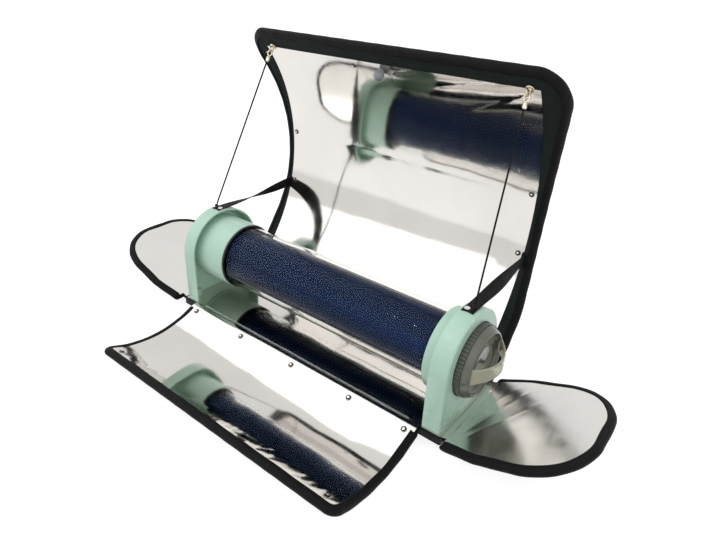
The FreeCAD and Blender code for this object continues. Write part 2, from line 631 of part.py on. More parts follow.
def polar(centre, radius, angle):
    """A point of the YZ plane at a radius and an angle in degrees from +Y."""
    turn = math.radians(angle)
    return Vector(0, centre.y + radius * math.cos(turn), centre.z + radius * math.sin(turn))


def stood(solid, place, direction):
    """A solid made along Z, set on a place with its height along a direction."""
    solid.transformShape(FreeCAD.Placement(place, FreeCAD.Rotation(Z_AXIS, direction)).toMatrix(), True)
    return solid


def turned(profile, place, direction):
    """A solid turned from corners (radius, height) about an axis through a place."""
    corners = [Vector(radius, 0, height) for radius, height in profile]
    return stood(Part.Face(Part.makePolygon(corners + corners[:1])).revolve(Vector(), Z_AXIS, 360),
                 place, direction)


def ball_profile(radius, centre, bands):
    """Corners of a ball in bands, from its lower pole to its upper one."""
    turns = [math.radians(-90 + 180 * i / bands) for i in range(bands + 1)]
    return [(max(radius * math.cos(turn), 0), centre + radius * math.sin(turn)) for turn in turns]


def ring(radius, wire, centre, direction):
    """A ring of square wire about an axis through its centre."""
    profile = [(radius + wire, 0), (radius, wire), (radius - wire, 0), (radius, -wire)]
    return turned(profile, centre, direction)


def small_round(radius, height, place, direction, sides=12):
    """A small round piece with flat sides, that stands on a place along a direction."""
    corners = [Vector(radius * math.cos(2 * math.pi * i / sides), radius * math.sin(2 * math.pi * i / sides), 0)
               for i in range(sides)]
    return stood(Part.Face(Part.makePolygon(corners + corners[:1])).extrude(Z_AXIS * height),
                 place, direction)


def hinge_bead(radius, axis, direction, length):
    """Piping along a hinge axis, centred on it."""
    start = axis - direction * (length / 2)
    return Part.makeCylinder(radius, length, start, direction)


wide = 2 * (dim.base_half_length + dim.flap_length)
back_half = dim.back_thickness / 2
back_hinge = Vector(0, dim.base_back + dim.back_standoff, dim.back_hinge_height)
back_low = math.radians(-dim.back_lower_angle)
back_up = Vector(0, -math.sin(back_low), math.cos(back_low))
back_out = Vector(0, math.cos(back_low), math.sin(back_low))
back_centre = back_hinge + back_up * dim.back_run - back_out * (dim.back_radius + back_half)


def back_slab(inner, outer, start):
    """The back reflector's section between two depths behind its mirror side, swept along X."""
    def low_point(depth):
        return back_hinge + back_up * start + back_out * (depth - back_half)

    def ring_point(depth, angle):
        return polar(back_centre, dim.back_radius + depth, angle)

    low, high = -dim.back_lower_angle, dim.back_upper_angle
    middle = (low + high) / 2
    edges = [line(low_point(inner), ring_point(inner, low)),
             arc(ring_point(inner, low), ring_point(inner, middle), ring_point(inner, high)),
             line(ring_point(inner, high), ring_point(outer, high)),
             arc(ring_point(outer, high), ring_point(outer, middle), ring_point(outer, low)),
             line(ring_point(outer, low), low_point(outer)),
             line(low_point(outer), low_point(inner))]
    slab = prism(edges, X_AXIS * wide)
    slab.translate(X_AXIS * (-wide / 2))
    return slab


def back_outline(inset):
    """The back reflector seen from the front: waisted sides, rounded top corners."""
    foot = dim.back_foot_half_width - inset
    waist = dim.waist_half_width - inset
    bow = dim.waist_radius + inset
    top = dim.back_top - inset
    corner = dim.back_corner - inset
    bow_centre = waist + bow

    def side(height):
        return bow_centre - math.sqrt(bow ** 2 - (height - dim.waist_height) ** 2)

    foot_top = dim.waist_height - math.sqrt(bow ** 2 - (bow_centre - foot) ** 2)
    # The corner's centre is as far from the side's arc as from the top edge.
    corner_height = top - corner
    reach = bow_centre - math.sqrt((bow + corner) ** 2 - (corner_height - dim.waist_height) ** 2)
    slope = math.atan2(corner_height - dim.waist_height, bow_centre - reach)
    touch = (reach + corner * math.cos(slope), corner_height - corner * math.sin(slope))
    mid_turn = (math.pi / 2 - slope) / 2
    corner_mid = (reach + corner * math.cos(mid_turn), corner_height + corner * math.sin(mid_turn))
    bottom = 0.0

    def point(across, height):
        return Vector(across, 0, height)

    def right_side(sign):
        mid_height = (foot_top + touch[1]) / 2
        return [line(point(sign * foot, bottom), point(sign * foot, foot_top)),
                arc(point(sign * foot, foot_top), point(sign * side(mid_height), mid_height),
                    point(sign * touch[0], touch[1])),
                arc(point(sign * touch[0], touch[1]), point(sign * corner_mid[0], corner_mid[1]),
                    point(sign * reach, top))]

    edges = right_side(1) + [line(point(reach, top), point(-reach, top))]
    edges += right_side(-1) + [line(point(-foot, bottom), point(foot, bottom))]
    return prism(Part.__sortEdges__(edges), Y_AXIS * wide)


def block(low, high):
    """A plain box between two corners, for trimming."""
    return Part.makeBox(high.x - low.x, high.y - low.y, high.z - low.z, low)


def panel_set(prefix, slab, outline, thickness, relief):
    """Casing, face film area and binding of a padded panel, from its slab and outline functions."""
    edge = outline(0)
    face = outline(dim.binding_width)
    trim = dim.binding_thickness
    casing = slab(0, thickness, dim.panel_start).common(edge).cut(relief)
    binding = slab(-trim, thickness, dim.trim_start).common(outline(-trim))
    binding = binding.cut(slab(0, thickness + 1, 0).common(edge)).cut(face)
    film = slab(-dim.film_thickness, -dim.film_gap, dim.trim_start).common(face)
    return casing, binding, film


def back_relief():
    """Room for the piping in the back reflector's lower end."""
    return hinge_bead(dim.back_bead_radius + dim.hinge_clearance, back_hinge, X_AXIS, wide)


back_casing, back_binding, back_face = panel_set("back", back_slab, back_outline, dim.back_thickness,
                                                 back_relief())
mirror_half_width = dim.waist_half_width - dim.side_facing
mirror_top = dim.back_top - dim.top_facing
mirror_window = block(Vector(-mirror_half_width, 0, 0),
                      Vector(mirror_half_width, wide, mirror_top))
feature("back_casing", back_casing)
feature("back_binding", back_binding)
feature("back_mirror", back_face.common(mirror_window))
feature("back_facing", back_face.cut(mirror_window))

front_hinge = Vector(0, -dim.base_front - dim.hinge_standoff, dim.hinge_height)
front_middle = dim.front_radius + dim.front_thickness / 2
front_drop = dim.front_radius + dim.front_thickness - dim.hinge_height
front_centre = Vector(0, front_hinge.y - math.sqrt(front_middle ** 2 - front_drop ** 2),
                      dim.front_radius + dim.front_thickness)
front_near = -math.degrees(math.asin(front_drop / front_middle))


def front_slab(inner, outer, start):
    """The front reflector's section between two depths below its mirror side, swept along X."""
    near = front_near - math.degrees(start / front_middle)
    far = -90 - 40
    middle = (near + far) / 2

    def ring_point(depth, angle):
        return polar(front_centre, dim.front_radius + depth, angle)

    edges = [arc(ring_point(inner, near), ring_point(inner, middle), ring_point(inner, far)),
             line(ring_point(inner, far), ring_point(outer, far)),
             arc(ring_point(outer, far), ring_point(outer, middle), ring_point(outer, near)),
             line(ring_point(outer, near), ring_point(inner, near))]
    slab = prism(edges, X_AXIS * wide)
    slab.translate(X_AXIS * (-wide / 2))
    return slab


def front_outline(inset):
    """The front reflector seen from above: a rectangle with two rounded front corners."""
    half = dim.front_half_width - inset
    reach = -dim.front_reach + inset
    corner = max(dim.front_corner - inset, 4.0)
    back = 0.0
    diagonal = corner * (1 - math.sqrt(0.5))

    def point(across, along):
        return Vector(across, along, -10)

    edges = [line(point(-half, back), point(-half, reach + corner)),
             arc(point(-half, reach + corner), point(-half + diagonal, reach + diagonal),
                 point(-half + corner, reach)),
             line(point(-half + corner, reach), point(half - corner, reach)),
             arc(point(half - corner, reach), point(half - diagonal, reach + diagonal),
                 point(half, reach + corner)),
             line(point(half, reach + corner), point(half, back)),
             line(point(half, back), point(-half, back))]
    return prism(edges, Z_AXIS * wide)


front_relief = hinge_bead(dim.bead_radius + dim.hinge_clearance, front_hinge, X_AXIS, wide)
front_casing, front_binding, front_film = panel_set("front", front_slab, front_outline,
                                                    dim.front_thickness, front_relief)
feature("front_casing", front_casing)
feature("front_binding", front_binding)
feature("front_mirror", front_film)


# End flaps, drawn flat from their hinge outwards along +X and then tilted into place.

def flap_slab(inner, outer, start):
    """A flat layer between two depths below the flap's film side."""
    top = dim.front_thickness / 2
    return block(Vector(start, -wide, top - outer), Vector(wide, wide, top - inner))


def flap_outline(inset):
    """A D shape: sides that widen from the hinge, large outer corners."""
    root = dim.flap_root_half_width - inset
    half = dim.flap_half_width - inset
    corner = dim.flap_corner - inset
    length = dim.flap_length - inset
    shoulder = dim.flap_shoulder
    diagonal = corner * (1 - math.sqrt(0.5))

    def point(along, across):
        return Vector(along, across, -wide / 2)

    edges = [line(point(0, -root), point(shoulder, -half)),
             line(point(shoulder, -half), point(length - corner, -half)),
             arc(point(length - corner, -half), point(length - diagonal, -half + diagonal),
                 point(length, -half + corner)),
             line(point(length, -half + corner), point(length, half - corner)),
             arc(point(length, half - corner), point(length - diagonal, half - diagonal),
                 point(length - corner, half)),
             line(point(length - corner, half), point(shoulder, half)),
             line(point(shoulder, half), point(0, root)),
             line(point(0, root), point(0, -root))]
    return prism(edges, Z_AXIS * wide)


def flap_stay():
    """The springy plate under a flap's root that holds the flap at its rise."""
    depth = -dim.front_thickness / 2 - dim.stay_gap
    half = dim.stay_half_length
    corner = dim.stay_corner
    diagonal = corner * (1 - math.sqrt(0.5))
    outer = dim.stay_width

    def point(along, across):
        return Vector(along, across, depth)

    edges = [line(point(0, -half), point(outer - corner, -half)),
             arc(point(outer - corner, -half), point(outer - diagonal, -half + diagonal),
                 point(outer, -half + corner)),
             line(point(outer, -half + corner), point(outer, half - corner)),
             arc(point(outer, half - corner), point(outer - diagonal, half - diagonal),
                 point(outer - corner, half)),
             line(point(outer - corner, half), point(0, half)),
             line(point(0, half), point(0, -half))]
    return prism(edges, Z_AXIS * -dim.stay_thickness)


def flap(prefix, side, bead_radius):
    """Casing, binding, film and stay of one end flap."""
    relief = hinge_bead(bead_radius + dim.hinge_clearance, Vector(), Y_AXIS, wide)
    layers = panel_set(prefix, flap_slab, flap_outline, dim.front_thickness, relief)
    axis_place = Vector(side * (dim.base_half_length + dim.hinge_standoff), 0, dim.hinge_height)
    tilt = FreeCAD.Rotation(Y_AXIS, -dim.flap_tilt)
    facing_out = FreeCAD.Rotation(Z_AXIS, 90 - 90 * side)
    pieces = [*layers, flap_stay()]
    for name, shape in zip(("casing", "binding", "film", "stay"), pieces):
        item = feature(f"{prefix}_{name}", shape)
        item.Placement = FreeCAD.Placement(axis_place, facing_out * tilt)


flap("left_flap", -1, dim.bead_radius)
flap("right_flap", 1, dim.right_bead_radius)

# Hinge piping: a bead on each hinge axis, with a flange to the base's edge.
flange_low = dim.flange_drop + dim.flange_thickness


def piping(label, axis, direction, half_length, radius, edge):
    """A bead and the flange that joins it to the base's edge."""
    bead = hinge_bead(radius, axis, direction, 2 * half_length)
    low = Vector(min(axis.x, edge.x), min(axis.y, edge.y), axis.z - flange_low)
    high = Vector(max(axis.x, edge.x), max(axis.y, edge.y), axis.z - dim.flange_drop)
    low -= direction * half_length
    high += direction * half_length
    feature(label, bead.fuse(block(low, high)).removeSplitter())


side_hinge_half = min(dim.base_front, dim.base_back) - 1
piping("front_hinge_piping", front_hinge, X_AXIS, dim.front_half_width, dim.bead_radius,
       Vector(0, -dim.base_front, 0))
piping("back_hinge_piping", back_hinge, X_AXIS, dim.back_foot_half_width, dim.back_bead_radius,
       Vector(0, dim.base_back, 0))
piping("left_hinge_piping", Vector(-dim.base_half_length - dim.hinge_standoff, 0, dim.hinge_height),
       Y_AXIS, side_hinge_half, dim.bead_radius, Vector(-dim.base_half_length, 0, 0))
feature("right_hinge_piping",
        hinge_bead(dim.right_bead_radius,
                   Vector(dim.base_half_length + dim.hinge_standoff, 0, dim.hinge_height),
                   Y_AXIS, 2 * side_hinge_half))


# Snap studs, closing knob, cord eyes, hooks, cords and straps.

def back_face_point(across, height):
    """A seat just off the back mirror's face and the direction out of that face."""
    radius = dim.back_radius - dim.film_thickness
    angle = math.degrees(math.asin((height - back_centre.z) / radius))
    point = polar(back_centre, radius, angle)
    normal = (Vector(0, back_centre.y, back_centre.z) - point).normalize()
    return Vector(across, point.y, point.z) + normal * dim.seat_clearance, normal


def front_face_point(across, along):
    """A seat just off the front mirror's face and the direction out of that face."""
    radius = dim.front_radius - dim.film_thickness
    drop = math.sqrt(radius ** 2 - (along - front_centre.y) ** 2)
    point = Vector(0, along, front_centre.z - drop)
    normal = (Vector(0, front_centre.y, front_centre.z) - point).normalize()
    return Vector(across, point.y, point.z) + normal * dim.seat_clearance, normal


def stud(place, normal):
    """A snap stud: a flat socket ring and a small domed button."""
    base = small_round(dim.snap_radius, dim.snap_height * 0.5, place, normal)
    button = small_round(dim.snap_radius * 0.55, dim.snap_height, place, normal, 8)
    return base.fuse(button).removeSplitter()


snap_place = mirror_half_width - dim.snap_margin
back_stud_places = [(sign * snap_place, dim.side_snap_height) for sign in (-1, 1)]
back_stud_places += [(sign * (snap_place - dim.strap_snap_shift), dim.strap_snap_height) for sign in (-1, 1)]
back_stud_places += [(-dim.top_snap_place, mirror_top - dim.top_snap_margin)]
feature("back_snaps", Part.makeCompound(
    [stud(*back_face_point(across, height)) for across, height in back_stud_places]))
front_film_half = dim.front_half_width - dim.binding_width
snap_line = front_hinge.y - dim.front_snap_line
corner_line = -dim.front_reach + dim.binding_width + dim.corner_snap_line
front_stud_places = [(-front_film_half + dim.front_snap_first + dim.front_snap_pitch * i, snap_line)
                     for i in range(4)]
front_stud_places += [(front_film_half - dim.front_snap_last, snap_line)]
front_stud_places += [(sign * (front_film_half - dim.corner_snap_inset), corner_line) for sign in (-1, 1)]
feature("front_snaps", Part.makeCompound(
    [stud(*front_face_point(across, along)) for across, along in front_stud_places]))

knob_place, knob_normal = back_face_point(-dim.knob_place, mirror_top - dim.knob_margin)
knob_neck = dim.knob_radius * 0.4
knob_ball = ball_profile(dim.knob_radius, dim.knob_radius * 1.1, 8)[1:]
feature("closing_knob", turned([(0, 0), (knob_neck, 0)] + knob_ball, knob_place, knob_normal))


def cord_set(prefix, side):
    """Eye, hook, cord and knot of one side, in a straight line from the panel to the stand."""
    foot_point, normal = back_face_point(side * (mirror_half_width - dim.eye_inset), mirror_top)
    plate = small_round(dim.eye_ring + dim.wire_radius * 1.5, dim.wire_radius, foot_point, normal)
    eye_centre = foot_point + normal * (dim.eye_ring + dim.wire_radius)
    knot_lift = dim.strap_gauge + dim.knot_radius
    knot_centre = Vector(side * dim.cord_place, 0, stand_top + knot_lift)
    pull = (knot_centre - eye_centre).normalize()
    across = pull.cross(normal).normalize()
    eye = ring(dim.eye_ring, dim.wire_radius, eye_centre, across)
    feature(f"{prefix}_cord_eye", plate.fuse(eye).removeSplitter())
    # The two rings hang in each other, a little short of touching.
    link = dim.eye_ring + dim.hook_ring - 2 * dim.wire_radius - dim.seat_clearance
    hook_centre = eye_centre + pull * link
    hook_plane = pull.cross(across).normalize()
    hook = ring(dim.hook_ring, dim.wire_radius, hook_centre, hook_plane)
    barrel_start = hook_centre + pull * (dim.hook_ring - dim.wire_radius * 0.5)
    barrel = small_round(dim.barrel_radius, dim.barrel_length, barrel_start, pull)
    feature(f"{prefix}_cord_hook", hook.fuse(barrel).removeSplitter())
    cord_start = barrel_start + pull * dim.barrel_length
    cord_end = knot_centre - pull * dim.knot_radius
    length = (cord_end - cord_start).Length
    feature(f"{prefix}_cord", Part.makeCylinder(dim.cord_radius, length, cord_start, pull))
    feature(f"{prefix}_cord_knot", turned(ball_profile(dim.knot_radius, 0, 4), knot_centre, Z_AXIS))
    print(prefix, "cord length", round(length, 1), "from", cord_start, "to", cord_end)


cord_set("left", -1)
cord_set("right", 1)


QUARTER_TURN = 90


def strap_section(centre, twist):
    """A strap's rectangle across +Y, turned about the strap's run by a twist in degrees."""
    half_width, half_gauge = dim.strap_width / 2, dim.strap_gauge / 2
    corners = [Vector(x * half_width, 0, z * half_gauge) for x, z in ((-1, -1), (1, -1), (1, 1), (-1, 1))]
    turn = FreeCAD.Rotation(Y_AXIS, twist)
    points = [centre + turn.multVec(corner) for corner in corners]
    return Part.makePolygon(points + points[:1])


def strap(prefix, side):
    """A webbing strap from the stand's top to the back reflector, twisting a quarter turn."""
    level = stand_top + dim.strap_gauge / 2
    far_place = mirror_half_width + dim.strap_far_margin
    far_point, normal = back_face_point(side * far_place, dim.strap_far_height)
    near = [Vector(side * dim.strap_place, y, level) for y in (-dim.strap_tail, dim.strap_flat)]
    steps = 4
    sections = [strap_section(near[0], 0)]
    for step in range(steps + 1):
        share = step / steps
        centre = near[1] + (far_point - near[1]) * share
        sections.append(strap_section(centre, side * QUARTER_TURN * share))
    sections.append(strap_section(far_point + Y_AXIS * dim.strap_width, side * QUARTER_TURN))
    hole = Part.makeCylinder(dim.rivet_radius + dim.screw_clearance, 10,
                             Vector(side * dim.rivet_place, 0, stand_top - 5))
    beyond_facing = back_slab(-dim.film_thickness - dim.seat_clearance, dim.back_thickness * 4, 0)
    webbing = Part.makeLoft(sections, True, True).cut(hole).cut(beyond_facing)
    feature(f"{prefix}_strap", webbing)
    head_bottom = stand_top + dim.strap_gauge
    shank = Part.makeCylinder(dim.rivet_radius, dim.stand_wall + dim.strap_gauge,
                              Vector(side * dim.rivet_place, 0, stand_top - dim.stand_wall))
    head = Part.makeCylinder(dim.rivet_head, dim.rivet_head_height,
                             Vector(side * dim.rivet_place, 0, head_bottom))
    feature(f"{prefix}_strap_rivet", shank.fuse(head).removeSplitter())


strap("left", -1)
strap("right", 1)

doc.recompute()
faults = [item.Name for item in doc.Objects if {"Invalid", "Error"} & set(item.State)]
for item in nodes:
    if item.Shape.isNull() or not item.Shape.isValid():
        faults.append(item.Label)
if faults:
    raise RuntimeError(f"failed objects: {faults}")
for item in nodes:
    item.Shape.exportStep(f"parts/{item.Label}.step")
    box_size = item.Shape.BoundBox
    print(f"{item.Label:22s} solids {len(item.Shape.Solids)} volume {item.Shape.Volume / 1000:9.2f} cm3 "
          f"x {box_size.XMin:7.1f} {box_size.XMax:7.1f} y {box_size.YMin:7.1f} {box_size.YMax:7.1f} "
          f"z {box_size.ZMin:7.1f} {box_size.ZMax:7.1f}")
print("nodes", len(nodes))
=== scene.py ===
"""Folding parabolic solar cooker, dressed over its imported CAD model.

A double-walled glass tube lies in two mint-green stands on a padded base. A curved back reflector,
a curved front reflector and two end flaps are hinged to the base, and all of them carry a crinkled
mirror film with a black woven edge binding. Everything is in metres in the row frame: X along the
tube, +Y towards the back reflector, Z up from the ground.
"""

import json
import logging
import math
from dataclasses import dataclass, field
from enum import Enum

import bmesh
import bpy
import numpy as np
from mathutils import Matrix, Vector

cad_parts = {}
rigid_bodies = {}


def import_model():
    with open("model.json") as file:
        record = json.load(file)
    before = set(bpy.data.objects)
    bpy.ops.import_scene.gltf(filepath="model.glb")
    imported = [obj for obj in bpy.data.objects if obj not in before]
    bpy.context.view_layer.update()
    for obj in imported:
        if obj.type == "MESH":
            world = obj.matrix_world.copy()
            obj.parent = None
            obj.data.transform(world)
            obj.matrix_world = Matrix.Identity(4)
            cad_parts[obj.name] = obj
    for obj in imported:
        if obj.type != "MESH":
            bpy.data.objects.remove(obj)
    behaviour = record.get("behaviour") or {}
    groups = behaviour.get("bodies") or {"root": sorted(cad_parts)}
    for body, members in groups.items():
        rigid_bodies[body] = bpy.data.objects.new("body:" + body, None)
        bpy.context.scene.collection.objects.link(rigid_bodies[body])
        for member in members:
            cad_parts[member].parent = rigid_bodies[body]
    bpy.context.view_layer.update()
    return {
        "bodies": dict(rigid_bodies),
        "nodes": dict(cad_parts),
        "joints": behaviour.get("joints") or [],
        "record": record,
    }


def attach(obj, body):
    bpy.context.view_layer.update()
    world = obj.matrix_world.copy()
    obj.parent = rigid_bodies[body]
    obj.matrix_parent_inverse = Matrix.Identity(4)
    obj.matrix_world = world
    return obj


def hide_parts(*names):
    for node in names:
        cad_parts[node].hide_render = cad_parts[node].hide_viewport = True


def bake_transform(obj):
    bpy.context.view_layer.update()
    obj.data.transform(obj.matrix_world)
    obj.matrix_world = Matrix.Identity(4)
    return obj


LOG = logging.getLogger("cooker")
MM = 0.001
Colour = tuple[float, float, float, float]


# Mesh making

def make_piece(name: str, points: np.ndarray, faces: list, uv: np.ndarray | None = None) -> bpy.types.Object:
    """Put a mesh with smooth faces into the scene.

    Args:
        name: the piece's name.
        points: vertex places, one row each.
        faces: vertex numbers of each face, as lists or arrays.
        uv: two surface coordinates for each vertex, in metres.

    Returns:
        The new object, at the origin.
    """
    mesh = bpy.data.meshes.new(name)
    mesh.from_pydata(np.asarray(points, float).reshape(-1, 3).tolist(), [], [list(map(int, f)) for f in faces])
    mesh.polygons.foreach_set("use_smooth", np.ones(len(mesh.polygons), bool))
    if uv is not None:
        layer = mesh.uv_layers.new(name="surface")
        owner = np.empty(len(mesh.loops), int)
        mesh.loops.foreach_get("vertex_index", owner)
        layer.data.foreach_set("uv", np.asarray(uv, float).reshape(-1, 2)[owner].ravel())
    mesh.update()
    item = bpy.data.objects.new(name, mesh)
    bpy.context.scene.collection.objects.link(item)
    return item


def grid_faces(numbers: np.ndarray, wrap: bool = False, flip: bool = False) -> np.ndarray:
    """Quads of a grid of vertex numbers: each takes a vertex, its right, diagonal and lower neighbour.

    Args:
        numbers: vertex numbers in rows and columns.
        wrap: joins the last column to the first.
        flip: turns the faces over.

    Returns:
        One row of four vertex numbers for each quad.
    """
    if wrap:
        numbers = np.concatenate([numbers, numbers[:, :1]], axis=1)
    quads = np.stack([numbers[:-1, :-1], numbers[:-1, 1:], numbers[1:, 1:], numbers[1:, :-1]], axis=-1)
    quads = quads.reshape(-1, 4)
    return quads[:, ::-1] if flip else quads


def closed_rows(points: np.ndarray, uv: np.ndarray, flip: bool = False) -> tuple[np.ndarray, list, np.ndarray]:
    """Close a grid whose columns run round a section: join its last column to the first, and cap both ends.

    Args:
        points: places, in rows along the run and columns round the section.
        uv: surface coordinates of the same grid.
        flip: turns the faces over.

    Returns:
        Places, faces and surface coordinates, with a middle point added at each end.
    """
    rows, columns = points.shape[:2]
    numbers = np.arange(rows * columns).reshape(rows, columns)
    faces = grid_faces(numbers, wrap=True, flip=flip).tolist()
    for ring, centre, turned in ((numbers[0], rows * columns, flip), (numbers[-1], rows * columns + 1, not flip)):
        fan = np.stack([np.full(columns, centre), np.roll(ring, -1), ring], axis=-1)
        faces += (fan[:, ::-1] if turned else fan).tolist()
    middles = np.stack([points[0].mean(axis=0), points[-1].mean(axis=0)])
    flat_uv = np.concatenate([uv.reshape(-1, 2), uv[0].mean(axis=0)[None], uv[-1].mean(axis=0)[None]])
    return np.concatenate([points.reshape(-1, 3), middles]), faces, flat_uv


def path_frames(path: np.ndarray, up: np.ndarray) -> tuple[np.ndarray, np.ndarray, np.ndarray]:
    """Directions along a path: the tangent from its neighbours, a side square to tangent and up, and a true up.

    Args:
        path: points in a row.
        up: the wanted up direction, for all points or for each.

    Returns:
        Unit tangents, sides and ups.
    """
    tangent = np.gradient(path, axis=0)
    tangent /= np.linalg.norm(tangent, axis=1, keepdims=True)
    side = np.cross(tangent, np.broadcast_to(up, path.shape))
    side /= np.linalg.norm(side, axis=1, keepdims=True)
    return tangent, side, np.cross(side, tangent)


def run_lengths(path: np.ndarray) -> np.ndarray:
    """Distance of each point from the path's start, along the path."""
    steps = np.linalg.norm(np.diff(path, axis=0), axis=1)
    return np.concatenate([[0.0], np.cumsum(steps)])


def sweep(name: str, path: np.ndarray, section: np.ndarray, up: np.ndarray) -> bpy.types.Object:
    """Carry a closed section along a path: place = path + side * section across + up * section height.

    Args:
        name: the piece's name.
        path: points of the run.
        section: (across, height) points round the section, against the clock seen from the path's end.
        up: the section's up direction.

    Returns:
        The closed piece.
    """
    _, side, true_up = path_frames(path, up)
    points = (path[:, None] + side[:, None] * section[None, :, 0, None]
              + true_up[:, None] * section[None, :, 1, None])
    around = run_lengths(np.concatenate([section, section[:1]]))[:-1]
    uv = np.stack(np.broadcast_arrays(run_lengths(path)[:, None], around[None, :]), axis=-1)
    return make_piece(name, *closed_rows(points, uv))


def ring_section(radius: float, count: int) -> np.ndarray:
    """A round section: radius times the cosine and sine of evenly spaced angles."""
    angle = np.linspace(0, 2 * math.pi, count, endpoint=False)
    return radius * np.stack([np.cos(angle), np.sin(angle)], axis=-1)


def resample(path: np.ndarray, step: float) -> np.ndarray:
    """The same line with points an even step apart, by length along it."""
    reach = run_lengths(path)
    count = max(int(round(reach[-1] / step)), 2)
    places = np.linspace(0, reach[-1], count + 1)
    return np.stack([np.interp(places, reach, path[:, axis]) for axis in range(path.shape[1])], axis=-1)


def smooth_step(value: np.ndarray) -> np.ndarray:
    """0 below 0, 1 above 1, and 3v^2 - 2v^3 between them."""
    value = np.clip(value, 0, 1)
    return value * value * (3 - 2 * value)


def lathe(profile: np.ndarray, place: np.ndarray, axis: np.ndarray, sides: int) -> tuple[np.ndarray, list, np.ndarray]:
    """Turn (height, radius) rows about an axis: place + axis * height + spoke * radius.

    Args:
        profile: heights and radii from one end to the other, in metres.
        place: the point at height nought.
        axis: unit direction of the heights.
        sides: points round the axis.

    Returns:
        Places, faces and surface coordinates, whose first value is the radius.
    """
    first = np.cross(axis, [0.31, 0.83, 0.47])
    first /= np.linalg.norm(first)
    second = np.cross(axis, first)
    angle = np.linspace(0, 2 * math.pi, sides, endpoint=False)[:, None]
    spoke = first * np.cos(angle) + second * np.sin(angle)
    profile = np.asarray(profile, float)
    points = (np.asarray(place) + np.asarray(axis) * profile[:, 0, None, None] + spoke[None] * profile[:, 1, None, None])
    uv = np.broadcast_to(profile[:, None, ::-1], (len(profile), sides, 2))
    return closed_rows(points, uv)


def closed_tube(line: np.ndarray, radius: float, sides: int) -> tuple[np.ndarray, list, np.ndarray]:
    """A round section carried along a closed line, its up direction pointing away from the line's middle."""
    tangent = np.roll(line, -1, axis=0) - np.roll(line, 1, axis=0)
    tangent /= np.linalg.norm(tangent, axis=1, keepdims=True)
    side = np.cross(tangent, line - line.mean(axis=0))
    side /= np.linalg.norm(side, axis=1, keepdims=True)
    up = np.cross(side, tangent)
    ring = ring_section(radius, sides)
    points = line[:, None] + side[:, None] * ring[None, :, 0, None] + up[:, None] * ring[None, :, 1, None]
    numbers = np.arange(len(line) * sides).reshape(-1, sides)
    faces = grid_faces(np.concatenate([numbers, numbers[:1]]), wrap=True).tolist()
    reach = run_lengths(line)
    uv = np.stack(np.broadcast_arrays(reach[:, None], np.linspace(0, 2 * math.pi * radius, sides)[None]), axis=-1)
    return points.reshape(-1, 3), faces, uv.reshape(-1, 2)


def joined(name: str, parts: list) -> bpy.types.Object:
    """One piece from several closed shells, each given as places, faces and surface coordinates."""
    start, faces = 0, []
    for points, part_faces, _ in parts:
        faces += [[number + start for number in face] for face in part_faces]
        start += len(points)
    points = np.concatenate([part[0] for part in parts])
    return solid_piece(name, points, faces, np.concatenate([part[2].reshape(-1, 2) for part in parts]))


# Finishes

